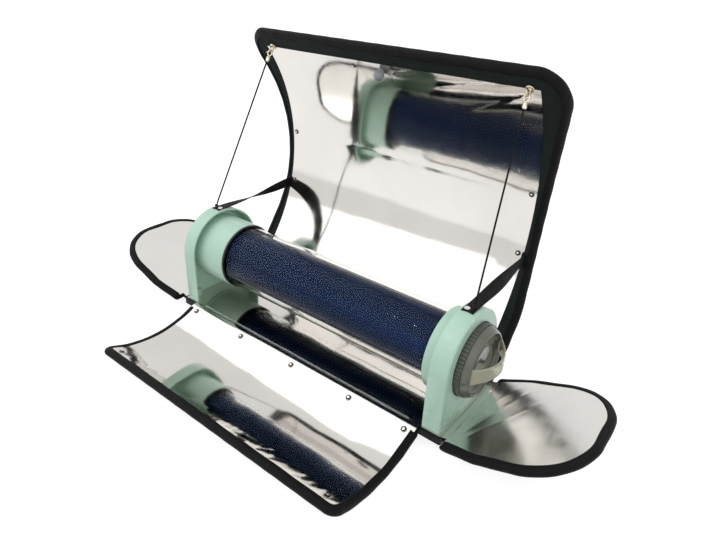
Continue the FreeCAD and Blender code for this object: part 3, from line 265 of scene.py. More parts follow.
class Shader:
    """One material's nodes, and the moves that all finishes share."""

    def __init__(self, name: str) -> None:
        """Start a material with an empty principled surface."""
        self.material = bpy.data.materials.new(name)
        self.material.use_nodes = True
        self.tree = self.material.node_tree
        self.tree.nodes.clear()
        self.surface = self.tree.nodes.new("ShaderNodeBsdfPrincipled")
        output = self.tree.nodes.new("ShaderNodeOutputMaterial")
        self.tree.links.new(self.surface.outputs[0], output.inputs["Surface"])

    def node(self, kind: str, settings: dict | None = None, **sockets: object) -> bpy.types.Node:
        """Add a node, set its own settings, and set or link its named sockets (underscores are spaces)."""
        item = self.tree.nodes.new(f"ShaderNode{kind}")
        for key, value in (settings or {}).items():
            setattr(item, key, value)
        for key, value in sockets.items():
            self.feed(item, key.replace("_", " "), value)
        return item

    def feed(self, item: bpy.types.Node, socket: str | int, value: object) -> None:
        """Link an output to a node's socket, or set the socket to a plain value."""
        if isinstance(value, bpy.types.NodeSocket):
            self.tree.links.new(value, item.inputs[socket])
        else:
            item.inputs[socket].default_value = value

    def dress(self, **sockets: object) -> bpy.types.Material:
        """Feed the surface's sockets and hand over the material."""
        for key, value in sockets.items():
            self.feed(self.surface, key.replace("_", " "), value)
        return self.material

    def place(self, by_surface: bool = False, scale: tuple = (1, 1, 1), turn: float = 0.0) -> bpy.types.NodeSocket:
        """Coordinates of a pattern, from the object or from the piece's own surface map."""
        source = self.node("TexCoord").outputs["UV" if by_surface else "Object"]
        mapped = self.node("Mapping", Vector=source, Scale=scale, Rotation=(0, 0, turn))
        return mapped.outputs[0]

    def noise(self, scale: float, detail: float = 4.0, at: bpy.types.NodeSocket | None = None) -> bpy.types.NodeSocket:
        """A cloudy pattern between 0 and 1."""
        item = self.node("TexNoise", Scale=scale, Detail=detail, Vector=at or self.place())
        return item.outputs[0]

    def span(self, value: bpy.types.NodeSocket, low: float, high: float,
             start: float = 0.0, end: float = 1.0) -> bpy.types.NodeSocket:
        """A value's part between start and end, spread from low to high."""
        item = self.node("MapRange")
        for socket, number in (("From Min", start), ("From Max", end), ("To Min", low), ("To Max", high)):
            self.feed(item, socket, number)
        self.feed(item, "Value", value)
        return item.outputs[0]

    def tint(self, factor: bpy.types.NodeSocket, first: object, second: object) -> bpy.types.NodeSocket:
        """A colour between two, by a factor."""
        item = self.node("Mix", {"data_type": "RGBA"})
        for socket, value in ((0, factor), (6, first), (7, second)):
            self.feed(item, socket, value)
        return item.outputs[2]

    def math(self, operation: str, first: object, second: object = 0.0) -> bpy.types.NodeSocket:
        """A sum, product or other operation on two values."""
        item = self.node("Math", {"operation": operation})
        self.feed(item, 0, first)
        self.feed(item, 1, second)
        return item.outputs[0]

    def bump(self, height: bpy.types.NodeSocket, distance: float, strength: float = 1.0,
             under: bpy.types.NodeSocket | None = None) -> bpy.types.NodeSocket:
        """A normal tilted by a height pattern, on top of another bump if one is given."""
        item = self.node("Bump", Height=height, Distance=distance, Strength=strength)
        if under is not None:
            self.feed(item, "Normal", under)
        return item.outputs[0]


def shade(red: float, green: float, blue: float) -> Colour:
    """A colour given as the 0 to 255 values it shows, in the linear values that a shader takes."""
    shown = np.array([red, green, blue]) / 255
    linear = np.where(shown <= 0.04045, shown / 12.92, ((shown + 0.055) / 1.055) ** 2.4)
    return (*linear.tolist(), 1.0)


@dataclass(frozen=True)
class MouldedPlastic:
    """Injection-moulded plastic: a fine grain, faint flow marks, and a painted highlight that makes its edges a little
    paler.
    """
    name: str
    tone: Colour
    deep: Colour
    gloss: float = 0.28
    grain: float = 900.0
    grain_depth: float = 0.00003

    def build(self) -> bpy.types.Material:
        """Make the material."""
        nodes = Shader(self.name)
        cloud = nodes.noise(14, 5)
        flow = nodes.noise(3, 3, nodes.place(scale=(1, 4, 9)))
        colour = nodes.tint(nodes.span(cloud, 0.25, 1.0, 0.3, 0.7), self.deep, self.tone)
        # Painted highlight: convex edges, found by pointiness, take a lighter copy of the tone.
        edge_highlight_mask = nodes.span(nodes.node("NewGeometry").outputs["Pointiness"], 0, 0.45, 0.52, 0.62)
        edge_highlight_tone = tuple(min(1.0, value * 1.25 + 0.03) for value in self.tone[:3]) + (1.0,)
        colour = nodes.tint(edge_highlight_mask, colour, edge_highlight_tone)
        rough = nodes.span(nodes.math("ADD", nodes.noise(60, 3), flow), self.gloss - 0.06, self.gloss + 0.12, 0.6, 1.4)
        fine = nodes.bump(nodes.noise(self.grain, 2), self.grain_depth, 0.6)
        return nodes.dress(Base_Color=colour, Roughness=rough, IOR=1.5, Normal=nodes.bump(flow, 0.0004, 0.25, fine))


@dataclass(frozen=True)
class Woven:
    """Woven cloth or tape: threads across and along the surface map, with sheen, an uneven dye, and a painted highlight
    that makes the raised threads lighter.
    """
    name: str
    tone: Colour
    light: Colour
    pitch: float
    depth: float
    rough: float = 0.75
    sheen: float = 0.02
    along: float = 1.0
    shine: float = 0.14

    def build(self) -> bpy.types.Material:
        """Make the material. Height is the larger of two crossed sine ribs, one thread wide each."""
        nodes = Shader(self.name)
        across = nodes.place(True, (1 / self.pitch, 1 / self.pitch * self.along, 1))
        warp = nodes.node("TexWave", {"bands_direction": "X"}, Scale=0.314, Distortion=0.4, Detail=1.0, Vector=across)
        weft = nodes.node("TexWave", {"bands_direction": "Y"}, Scale=0.314, Distortion=0.4, Detail=1.0, Vector=across)
        height = nodes.math("MAXIMUM", warp.outputs["Fac"], nodes.math("MULTIPLY", weft.outputs["Fac"], 0.85))
        dye = nodes.noise(22, 5)
        # Painted highlight: the raised threads take the lighter tone, more so where the uneven dye is paler.
        tone = nodes.tint(nodes.math("MULTIPLY", nodes.span(dye, 0.3, 1.0, 0.3, 0.7), height), self.tone, self.light)
        rough = nodes.span(nodes.noise(70, 3), self.rough - 0.12, min(self.rough + 0.12, 1.0))
        wavy = nodes.bump(dye, 0.0012, 0.35)
        return nodes.dress(Base_Color=tone, Roughness=rough, Sheen_Weight=self.sheen, Sheen_Roughness=0.45,
                           Specular_IOR_Level=self.shine, Normal=nodes.bump(height, self.depth, 0.8, wavy))


@dataclass(frozen=True)
class MirrorFilm:
    """Metallised film: mirror-like, with fine scuffs, slight haze and a soft quilted unevenness."""
    name: str
    tone: Colour
    deep: Colour
    gloss: float = 0.05
    haze: float = 0.10
    ripple: float = 0.0005

    def build(self) -> bpy.types.Material:
        """Make the material."""
        nodes = Shader(self.name)
        cloud = nodes.noise(7, 4)
        scuff = nodes.noise(240, 2, nodes.place(scale=(1, 0.12, 0.12)))
        rough = nodes.span(nodes.math("ADD", nodes.noise(30, 4), nodes.math("MULTIPLY", scuff, 0.5)),
                           self.gloss, self.haze, 0.5, 1.1)
        colour = nodes.tint(nodes.span(cloud, 0, 1, 0.3, 0.7), self.deep, self.tone)
        broad = nodes.bump(nodes.noise(16, 2), self.ripple, 0.3)
        return nodes.dress(Base_Color=colour, Metallic=1.0, Roughness=rough,
                           Normal=nodes.bump(nodes.noise(110, 2), self.ripple * 0.06, 0.35, broad))


@dataclass(frozen=True)
class ClearGlass:
    """Borosilicate glass: clear, a little uneven in tint, with slow drawing waves."""
    name: str
    tone: Colour
    deep: Colour
    ior: float = 1.11
    shine: float = 0.1

    def build(self) -> bpy.types.Material:
        """Make the material."""
        nodes = Shader(self.name)
        drawn = nodes.noise(5, 2, nodes.place(scale=(0.25, 1, 1)))
        colour = nodes.tint(nodes.span(nodes.noise(35, 4), 0.0, 1.0, 0.45, 0.8), self.tone, self.deep)
        return nodes.dress(Base_Color=colour, Roughness=0.0, IOR=self.ior, Transmission_Weight=1.0,
                           Specular_IOR_Level=self.shine, Normal=nodes.bump(drawn, 0.0006, 0.12))


@dataclass(frozen=True)
class SelectiveCoating:
    """Sputtered absorber coating: a smooth blue that is nearly black, with faint bands along it."""
    name: str
    tone: Colour
    light: Colour

    def build(self) -> bpy.types.Material:
        """Make the material."""
        nodes = Shader(self.name)
        bands = nodes.noise(9, 3, nodes.place(scale=(0.15, 2.5, 2.5)))
        colour = nodes.tint(nodes.span(bands, 0, 1, 0.3, 0.75), self.tone, self.light)
        rough = nodes.span(nodes.noise(24, 2), 0.18, 0.26)
        return nodes.dress(Base_Color=colour, Roughness=rough, Specular_IOR_Level=0.06)


@dataclass(frozen=True)
class Metal:
    """Plated or brushed metal with drawn streaks and dulled patches."""
    name: str
    tone: Colour
    deep: Colour
    gloss: float = 0.18
    streak: tuple = (1.0, 12.0, 12.0)

    def build(self) -> bpy.types.Material:
        """Make the material."""
        nodes = Shader(self.name)
        drawn = nodes.noise(120, 3, nodes.place(scale=self.streak))
        dull = nodes.noise(45, 4)
        colour = nodes.tint(nodes.span(dull, 0, 1, 0.35, 0.7), self.tone, self.deep)
        rough = nodes.span(nodes.math("ADD", drawn, dull), self.gloss, self.gloss + 0.22, 0.7, 1.4)
        return nodes.dress(Base_Color=colour, Metallic=1.0, Roughness=rough, Normal=nodes.bump(drawn, 0.00004, 0.5))


@dataclass(frozen=True)
class SnapMetal:
    """Snap stud of one plated metal, split by distance from its middle: a socket ring, painted shade in the gap inside
    it, and a painted highlight on the button.
    """
    name: str
    ring: Colour
    # gap is painted shade, also mixed in as dull tarnish; button's bright tone is a painted highlight on the same
    # plated metal.
    gap: Colour
    button: Colour
    gap_start: float
    gap_end: float

    def build(self) -> bpy.types.Material:
        """Make the material. The surface map's first value is the distance from the stud's axis."""
        nodes = Shader(self.name)
        radius = nodes.node("SeparateXYZ", Vector=nodes.place(True)).outputs[0]
        gap_shade_mask = nodes.span(radius, 0, 1, self.gap_start, self.gap_start * 1.1)
        light = nodes.span(radius, 0, 1, self.gap_end, self.gap_end * 1.06)
        dull = nodes.noise(160, 3)
        # Painted shade in the gap and a painted highlight on the button, by distance from the axis; then patches of the
        # same dark tone as tarnish.
        colour = nodes.tint(light, nodes.tint(gap_shade_mask, self.button, self.gap), self.ring)
        rough = nodes.math("ADD", nodes.span(gap_shade_mask, 0.12, 0.26), nodes.span(dull, -0.04, 0.1))
        return nodes.dress(Base_Color=nodes.tint(nodes.span(dull, 0, 0.35, 0.4, 0.8), colour, self.gap), Metallic=1.0,
                           Roughness=rough, Normal=nodes.bump(dull, 0.00005, 0.4))


@dataclass(frozen=True)
class SoftPolymer:
    """Rubber, silicone or foam: matt, with a soft mottle and fine pores."""
    name: str
    tone: Colour
    light: Colour
    rough: float = 0.6
    pores: float = 500.0
    depth: float = 0.00008
    clear: float = 0.0

    def build(self) -> bpy.types.Material:
        """Make the material."""
        nodes = Shader(self.name)
        mottle = nodes.noise(26, 5)
        colour = nodes.tint(nodes.span(mottle, 0, 1, 0.35, 0.7), self.tone, self.light)
        rough = nodes.span(nodes.noise(90, 3), self.rough - 0.1, self.rough + 0.12)
        return nodes.dress(Base_Color=colour, Roughness=rough, Transmission_Weight=self.clear,
                           Normal=nodes.bump(nodes.noise(self.pores, 2), self.depth, 0.7))


@dataclass(frozen=True)
class TintedClear:
    """Clear or smoky moulded plastic that light passes through, with faint flow and scratches."""
    name: str
    tone: Colour
    through: float
    gloss: float = 0.06

    def build(self) -> bpy.types.Material:
        """Make the material."""
        nodes = Shader(self.name)
        flow = nodes.noise(8, 3, nodes.place(scale=(1, 3, 3)))
        scratch = nodes.noise(300, 2, nodes.place(scale=(0.1, 1, 1), turn=0.6))
        rough = nodes.span(nodes.math("ADD", nodes.noise(50, 3), nodes.math("MULTIPLY", scratch, 0.4)),
                           self.gloss, self.gloss + 0.12, 0.5, 1.1)
        return nodes.dress(Base_Color=self.tone, Roughness=rough, IOR=1.49, Transmission_Weight=self.through,
                           Normal=nodes.bump(flow, 0.0005, 0.2))


class Slot(Enum):
    """The record's material slots, each with the finish that it gets."""
    mint_plastic = MouldedPlastic("mint_plastic", shade(178, 210, 192), shade(168, 201, 182))
    clear_glass = ClearGlass("clear_glass", (0.97, 0.99, 0.985, 1), (0.95, 0.975, 0.97, 1))
    absorber_coating = SelectiveCoating("absorber_coating", shade(9, 20, 36), shade(18, 38, 76))
    mirror_film = MirrorFilm("mirror_film", (0.69, 0.665, 0.635, 1), (0.63, 0.605, 0.575, 1))
    casing_fabric = Woven("casing_fabric", shade(5, 6, 6), shade(15, 17, 17), 0.0011, 0.00022)
    facing_fabric = Woven("facing_fabric", shade(20, 27, 25), shade(36, 44, 41), 0.0009, 0.00014, 0.8)
    binding_tape = Woven("binding_tape", shade(2, 2, 3), shade(9, 9, 10), 0.0013, 0.00032, 0.6, along=0.35)
    webbing = Woven("webbing", shade(4, 4, 5), shade(18, 19, 20), 0.0016, 0.00035, 0.62, along=0.6)
    cord_braid = Woven("cord_braid", shade(3, 3, 4), shade(12, 12, 13), 0.0014, 0.00035, 0.6)
    foam_pad = SoftPolymer("foam_pad", shade(26, 27, 28), shade(44, 45, 46), 0.8, 350, 0.0003)
    board = SoftPolymer("board", shade(92, 78, 60), shade(120, 104, 82), 0.75, 260, 0.0002)
    stay_plastic = MouldedPlastic("stay_plastic", shade(14, 14, 15), shade(9, 9, 10), 0.42)
    clear_strip = TintedClear("clear_strip", (0.93, 0.95, 0.94, 1), 0.9, 0.03)
    black_rubber = SoftPolymer("black_rubber", shade(12, 12, 13), shade(30, 30, 31), 0.5)
    silicone = SoftPolymer("silicone", shade(196, 196, 190), shade(216, 216, 210), 0.4, 400, 0.00005, 0.15)
    steel = Metal("steel", (0.72, 0.72, 0.71, 1), (0.55, 0.55, 0.54, 1), 0.2)
    # Snap studs: painted shade in the gap and a painted highlight on the button.
    bright_metal = SnapMetal("bright_metal", (0.30, 0.29, 0.27, 1), (0.015, 0.015, 0.015, 1), (0.86, 0.85, 0.82, 1),
                             1.8 * MM, 3.9 * MM)
    hook_metal = Metal("hook_metal", (0.78, 0.72, 0.58, 1), (0.55, 0.47, 0.33, 1), 0.14)
    rivet_white = MouldedPlastic("rivet_white", shade(228, 230, 226), shade(210, 212, 208), 0.3)
    knob_grey = MouldedPlastic("knob_grey", shade(142, 148, 149), shade(120, 126, 128), 0.22)
    ring_plastic = MouldedPlastic("ring_plastic", shade(76, 78, 71), shade(54, 56, 51), 0.3)
    smoky_plastic = TintedClear("smoky_plastic", (0.21, 0.22, 0.175, 1), 0.5, 0.07)


class Paint:
    """Builds each finish once and puts it on pieces."""

    def __init__(self) -> None:
        """Start with no finish made."""
        self.made: dict[str, bpy.types.Material] = {}

    def finish(self, finish: object) -> bpy.types.Material:
        """The material of a finish, made on its first use."""
        if finish.name not in self.made:
            self.made[finish.name] = finish.build()
        return self.made[finish.name]

    def coat(self, item: bpy.types.Object, slot: Slot, finish: object | None = None) -> bpy.types.Object:
        """Give a new piece its slot's finish, or a variant of it."""
        item.data.materials.clear()
        item.data.materials.append(self.finish(finish or slot.value))
        return item

    def recoat(self, item: bpy.types.Object, slot: Slot) -> None:
        """Put a slot's finish on a CAD piece's own material slots."""
        for place in item.material_slots:
            place.material = self.finish(slot.value)


# Panels: a mirror side that is flat or bent one way, and an outline on it

@dataclass(frozen=True)
class Panel:
    """A padded panel. Its mirror side is a function of the way along it from the hinge and across it."""
    name: str = "panel"
    body: str = "base"
    thickness: float = 10 * MM
    start: float = 1.5 * MM
    trim_start: float = 6 * MM
    step: float = 7 * MM
    corner_steps: int = 18
    rounded: float = 20 * MM

    def place(self, along: np.ndarray, across: np.ndarray, lift: np.ndarray) -> np.ndarray:
        """The point at a way along and across the mirror side, lifted off it."""
        raise NotImplementedError

    def outline_rows(self) -> tuple[np.ndarray, np.ndarray]:
        """Way along and half width of rows from the hinge to the outer edge."""
        raise NotImplementedError

    def rows(self, start: float) -> tuple[np.ndarray, np.ndarray]:
        """Rows that begin at a start, close together there so that the end can be rounded."""
        along, half = self.outline_rows()
        near = start + np.array([0, 0.4, 1.2, 2.6, 4.5]) * MM
        kept = along > near[-1] + 1 * MM
        places = np.concatenate([near, along[kept]])
        return places, np.interp(places, along, half)

    def columns(self, half: np.ndarray) -> np.ndarray:
        """Ways across for rows of a half width: close together at the edges, even between them."""
        edge = np.array([0, 0.35, 1.1, 2.4, 4.2, 6.5, 9.5, 13.5, 19]) * MM
        inner = np.linspace(-1, 1, max(int(2 * half.max() / self.step), 4))[1:-1]
        middle = inner[None] * (half[:, None] - edge[-1])
        return np.concatenate([edge[None] - half[:, None], middle, half[:, None] - edge[::-1][None]], axis=1)

    def edge_line(self, start: float, step: float = 4 * MM) -> np.ndarray:
        """The outline in (along, across): up the left side, over the outer edge and down the right side."""
        along, half = self.rows(start)
        left = np.stack([along, -half], axis=-1)
        line = np.concatenate([left, left[::-1] * np.array([1, -1])])
        return resample(line, step)

    def edge_distance(self, along: np.ndarray, across: np.ndarray, start: float) -> np.ndarray:
        """Distance of each point from the outline, or from the hinge end where that is nearer."""
        line = self.edge_line(start, 2.5 * MM)
        flat = np.stack([along.ravel(), across.ravel()], axis=-1)
        gap = np.empty(len(flat))
        for low in range(0, len(flat), 4000):
            part = flat[low:low + 4000]
            gap[low:low + 4000] = np.sqrt(((part[:, None] - line[None]) ** 2).sum(axis=-1)).min(axis=1)
        return np.minimum(gap.reshape(along.shape), along - start)

    def casing(self) -> bpy.types.Object:
        """The padded casing: two faces that share a rim at half thickness.

        At a distance d inside the rim a face stands off the middle by sqrt(r^2 - (r - d)^2), where r is
        half the thickness, and the outer face swells a little more between its edges.
        """
        along, half = self.rows(self.start)
        across = self.columns(half)
        along = np.broadcast_to(along[:, None], across.shape)
        depth = self.thickness / 2
        gap = self.edge_distance(along, across, self.start)
        gap[:, [0, -1]] = 0
        gap[[0, -1]] = 0
        inside = np.clip(depth - gap, 0, None)
        bulge = np.sqrt(np.clip(depth ** 2 - inside ** 2, 0, None))
        swell = 0.7 * MM * smooth_step(gap / (60 * MM)) * (1 + 0.35 * np.sin(along * 41 + 1) * np.cos(across * 37))
        dimple = 0.5 * MM * np.cos(along * 190) * np.sin(across * 170 + along * 60) * smooth_step(gap / (25 * MM))
        front = self.place(along, across, -depth + bulge - 0.3 * MM * smooth_step(gap / depth))
        back = self.place(along, across, -depth - bulge - swell - dimple)
        back[..., 2] = np.maximum(back[..., 2], 0)
        numbers = np.arange(across.size).reshape(across.shape)
        behind = numbers + across.size
        for rim in (np.s_[:, 0], np.s_[:, -1], np.s_[0, :], np.s_[-1, :]):
            behind[rim] = numbers[rim]
        faces = np.concatenate([grid_faces(numbers), grid_faces(behind, flip=True)])
        uv = np.stack([along, across], axis=-1).reshape(-1, 2)
        return solid_piece(f"{self.name}_padded_casing", np.concatenate([front.reshape(-1, 3), back.reshape(-1, 3)]),
                           faces, np.concatenate([uv, uv]))

    def trim_section(self, width: float, gauge: float, lift: float) -> np.ndarray:
        """The binding's section as (distance inside the outline, lift): round the edge outside, back inside it."""
        radius = self.thickness / 2 + gauge
        middle = self.thickness / 2
        angle = np.linspace(math.pi / 2, -math.pi / 2, 13)
        turn = np.stack([middle - radius * np.cos(angle), -middle + radius * np.sin(angle)], axis=-1)
        face = np.array([[width, lift], [width - 0.5 * MM, lift + gauge], [width * 0.75, lift + gauge * 1.25]])
        back = np.array([[width * 0.75, -self.thickness - gauge * 1.3], [width - 0.5 * MM, -self.thickness - gauge],
                         [width, -self.thickness + 0.4 * MM]])
        inner_angle = angle[::-3]
        inner_radius = middle - 0.5 * MM
        inner = np.stack([middle - inner_radius * np.cos(inner_angle),
                          -middle + inner_radius * np.sin(inner_angle)], axis=-1)
        return np.concatenate([face, turn, back, inner])

    def binding(self, width: float = 11 * MM, gauge: float = 1.1 * MM) -> bpy.types.Object:
        """Edge binding: its section carried along the outline, with the tape's slight waviness."""
        line = self.edge_line(self.trim_start)
        normal = inward_normals(line)
        section = self.trim_section(width, gauge, 0.7 * MM)
        reach = run_lengths(line)
        wobble = 0.35 * MM * np.sin(reach * 95) + 0.3 * MM * np.sin(reach * 41 + 2)
        inset = section[None, :, 0] + wobble[:, None] * (section[None, :, 0] > width * 0.6)
        puff = 0.22 * MM * np.sin(reach * 160)[:, None] * (section[None, :, 0] < width * 0.5)
        flat = line[:, None] + normal[:, None] * (inset - puff)[..., None]
        points = self.place(flat[..., 0], flat[..., 1], np.broadcast_to(section[None, :, 1], inset.shape))
        points[..., 2] = np.maximum(points[..., 2], 0)
        around = run_lengths(np.concatenate([section, section[:1]]))[:-1]
        uv = np.stack(np.broadcast_arrays(reach[:, None], around[None]), axis=-1)
        return solid_piece(f"{self.name}_edge_binding", *closed_rows(points, uv))

    def stitches(self, inset: float, lift: float, label: str, pitch: float = 4.2 * MM) -> bpy.types.Object:
        """A row of stitches on the binding, each a short rounded thread that dips at both ends."""
        line = resample(self.edge_line(self.trim_start), pitch)
        normal = inward_normals(line)
        flat = line + normal * inset
        ground = self.place(flat[:, 0], flat[:, 1], np.full(len(flat), lift))
        ground[:, 2] = np.maximum(ground[:, 2], 0.6 * MM)
        above = self.place(flat[:, 0], flat[:, 1], np.full(len(flat), lift + 1 * MM))
        up = (above - ground) / np.linalg.norm(above - ground, axis=1, keepdims=True)
        tangent, side, _ = path_frames(ground, up)
        return stitch_row(f"{self.name}_{label}", ground, tangent, side, np.cross(side, tangent))

    def film(self, crinkle: "Crinkle", half_limit: float, far_limit: float, inset: float,
             lift: float = 0.8 * MM, label: str = "mirror_film") -> bpy.types.Object:
        """The mirror film: a thin sheet on the face, inside the binding, lifted by its crinkles.

        Args:
            crinkle: the film's unevenness.
            half_limit: the film's own half width, or more where the binding ends it.
            far_limit: the way along at which it ends, or more where the binding ends it.
            inset: how far inside the outline it reaches, under the binding.
            lift: how far it stands off the face.
            label: the piece's name after the panel's.

        Returns:
            The sheet, one face thick.
        """
        along, half = self.rows(self.trim_start)
        last = min(along[-1] - inset, far_limit)
        fine = np.arange(self.trim_start, last, crinkle.grid)
        tail = along[(along > along[-1] - self.rounded) & (along < last)]
        places = np.unique(np.concatenate([fine, tail, [last]]))
        limit = np.minimum(np.interp(places, along, half) - inset, half_limit)
        share = np.linspace(-1, 1, int(2 * limit.max() / crinkle.grid))
        across = share[None] * limit[:, None]
        along = np.broadcast_to(places[:, None], across.shape)
        height = lift + crinkle.height(along, across)
        points = self.place(along, across, height)
        numbers = np.arange(across.size).reshape(across.shape)
        uv = np.stack([along, across], axis=-1)
        return make_piece(f"{self.name}_{label}", points, grid_faces(numbers).tolist(), uv)


def solid_piece(name: str, points: np.ndarray, faces: np.ndarray, uv: np.ndarray) -> bpy.types.Object:
    """A closed piece without its unused vertices, all of its faces pointing outwards."""
    item = make_piece(name, points, faces, uv)
    face_up(item)
    return item


def face_up(item: bpy.types.Object) -> None:
    """Drop loose vertices and point a closed piece's faces outwards."""
    work = bmesh.new()
    work.from_mesh(item.data)
    bmesh.ops.delete(work, geom=[v for v in work.verts if not v.link_faces], context="VERTS")
    bmesh.ops.recalc_face_normals(work, faces=work.faces)
    work.to_mesh(item.data)
    work.free()
    item.data.update()


def inward_normals(line: np.ndarray) -> np.ndarray:
    """Unit directions from an open outline to its inside, which lies to the right of its run."""
    tangent = np.gradient(line, axis=0)
    tangent /= np.linalg.norm(tangent, axis=1, keepdims=True)
    return np.stack([-tangent[:, 1], tangent[:, 0]], axis=-1)


def stitch_row(name: str, places: np.ndarray, tangent: np.ndarray, side: np.ndarray, up: np.ndarray,
               length: float = 3.0 * MM, gauge: float = 0.42 * MM) -> bpy.types.Object:
    """Many stitches as one mesh: five rings of five points each, thick in the middle and sunk at the ends."""
    share = np.array([-0.5, -0.36, 0.0, 0.36, 0.5])
    girth = np.array([0.35, 0.9, 1.0, 0.9, 0.35]) * gauge
    lift = np.array([-0.5, 0.35, 0.6, 0.35, -0.5]) * gauge
    angle = np.linspace(0, 2 * math.pi, 5, endpoint=False)
    ring = np.stack([np.cos(angle), np.sin(angle)], axis=-1)
    points = (places[:, None, None] + tangent[:, None, None] * (share * length)[None, :, None, None]
              + side[:, None, None] * (girth[:, None] * ring[None, :, 0])[None, ..., None]
              + up[:, None, None] * (lift[:, None] + girth[:, None] * ring[None, :, 1])[None, ..., None])
    one = np.arange(25).reshape(5, 5)
    quads = grid_faces(one, wrap=True)
    starts = (np.arange(len(places)) * 25)[:, None, None]
    faces = (quads[None] + starts).reshape(-1, 4).tolist()
    faces += (one[0][None] + starts[:, :, 0]).tolist() + (one[-1][::-1][None] + starts[:, :, 0]).tolist()
    uv = np.broadcast_to(np.stack(np.broadcast_arrays(share[:, None] * length, angle[None] * gauge), axis=-1),
                         (len(places), 5, 5, 2))
    item = make_piece(name, points, faces, uv)
    face_up(item)
    return item


@dataclass(frozen=True)
class Fold:
    """One crease in a film, from one place to another in (along, across)."""
    first: tuple
    last: tuple
    height: float
    width: float

    def lift(self, along: np.ndarray, across: np.ndarray) -> np.ndarray:
        """Height falls off as exp(-distance / width) from the line, and fades to nothing at its ends."""
        start = np.array(self.first)
        run = np.array(self.last) - start
        length = np.linalg.norm(run)
        share = ((along - start[0]) * run[0] + (across - start[1]) * run[1]) / length ** 2
        off = np.abs((along - start[0]) * run[1] - (across - start[1]) * run[0]) / length
        fade = smooth_step(share / 0.25) * smooth_step((1 - share) / 0.25)
        return self.height * np.exp(-off / self.width) * fade


@dataclass(frozen=True)
class Crinkle:
    """A film's unevenness: soft waves over all of it, crumpled zones, and single folds."""
    seed: int
    wave: float = 0.35 * MM
    pitch: float = 70 * MM
    grid: float = 4 * MM
    crumple: float = 0.0
    zone: tuple = (0.0, 0.0)
    zone_width: float = 30 * MM
    folds: tuple = ()

    def height(self, along: np.ndarray, across: np.ndarray) -> np.ndarray:
        """Mean of twelve sine waves in seeded directions, plus ridges |sin| in the zone, plus the folds."""
        random = np.random.default_rng(self.seed)
        total = np.zeros(along.shape)
        for _ in range(12):
            angle, phase = random.uniform(0, math.pi), random.uniform(0, 2 * math.pi)
            length = self.pitch * random.uniform(0.5, 2.0)
            run = along * math.cos(angle) + across * math.sin(angle)
            total += self.wave * np.sin(2 * math.pi * run / length + phase) / 3
        if self.crumple:
            near = np.exp(-(((along - self.zone[0]) / self.zone_width) ** 2))
            near = near * (0.35 + 0.65 * smooth_step(0.5 + 6 * (self.zone[1] + across)))
            for _ in range(9):
                angle, phase = random.uniform(0, math.pi), random.uniform(0, 2 * math.pi)
                length = random.uniform(26, 74) * MM
                run = along * math.cos(angle) + across * math.sin(angle)
                bend = 9 * MM * np.sin(run * 70 + phase)
                total += near * self.crumple * (1 - np.abs(np.sin(math.pi * (run + bend) / length + phase))) ** 2 / 2.5
        for fold in self.folds:
            total += fold.lift(along, across)
        return total


@dataclass(frozen=True)
class BackPanel(Panel):
    """Back reflector: a straight run from the hinge, then an arc, with waisted sides."""
    name: str = "back"
    body: str = "back_reflector"
    thickness: float = 14 * MM
    rounded: float = 60 * MM
    hinge: tuple = (97.5 * MM, 29.8 * MM)
    radius: float = 326 * MM
    lean: float = math.radians(37.3)
    run: float = 86 * MM
    top: float = 528 * MM
    foot: float = 299.5 * MM
    waist: float = 290 * MM
    waist_height: float = 265 * MM
    bow: float = 950 * MM
    corner: float = 46 * MM

    def centre(self) -> np.ndarray:
        """The arc's centre: back from the run's upper end by the radius, square to the run."""
        out = np.array([math.cos(self.lean), -math.sin(self.lean)])
        up = np.array([math.sin(self.lean), math.cos(self.lean)])
        return np.array(self.hinge) - out * (self.thickness / 2 + self.radius) + up * self.run

    def along_at(self, height: np.ndarray) -> np.ndarray:
        """Way along the mirror side at a height above the ground, on its arc."""
        return self.run + self.radius * (np.arcsin((height - self.centre()[1]) / self.radius) + self.lean)

    def place(self, along: np.ndarray, across: np.ndarray, lift: np.ndarray) -> np.ndarray:
        """Straight up to the run's length, then centre + (radius - lift) * (cos, sin) of the arc's angle."""
        centre = self.centre()
        angle = np.clip(along - self.run, 0, None) / self.radius - self.lean
        short = np.clip(along - self.run, None, 0)
        reach = self.radius - lift
        y = centre[0] + reach * np.cos(angle) + short * math.sin(self.lean)
        z = centre[1] + reach * np.sin(angle) + short * math.cos(self.lean)
        return np.stack(np.broadcast_arrays(across, y, z), axis=-1)

    def outline_rows(self) -> tuple[np.ndarray, np.ndarray]:
        """Straight foot, sides on a large arc round the waist, and corner arcs that meet them and the top."""
        bow_centre = self.waist + self.bow
        corner_height = self.top - self.corner
        rise = corner_height - self.waist_height
        reach = bow_centre - math.sqrt((self.bow + self.corner) ** 2 - rise ** 2)
        slope = math.atan2(rise, bow_centre - reach)
        foot_top = self.waist_height - math.sqrt(self.bow ** 2 - (bow_centre - self.foot) ** 2)
        low = self.place(np.array([0.0]), 0, 0)[0, 2]
        heights = np.arange(low, corner_height - self.corner * math.sin(slope), self.step)
        side = bow_centre - np.sqrt(self.bow ** 2 - (np.maximum(heights, foot_top) - self.waist_height) ** 2)
        turn = np.linspace(-slope, math.pi / 2, self.corner_steps)
        heights = np.concatenate([heights, corner_height + self.corner * np.sin(turn)])
        half = np.concatenate([side, reach + self.corner * np.cos(turn)])
        joint = self.place(np.array([self.run]), 0, 0)[0, 2]
        straight = (heights - low) / math.cos(self.lean)
        return np.where(heights < joint, straight, self.along_at(np.maximum(heights, joint))), half


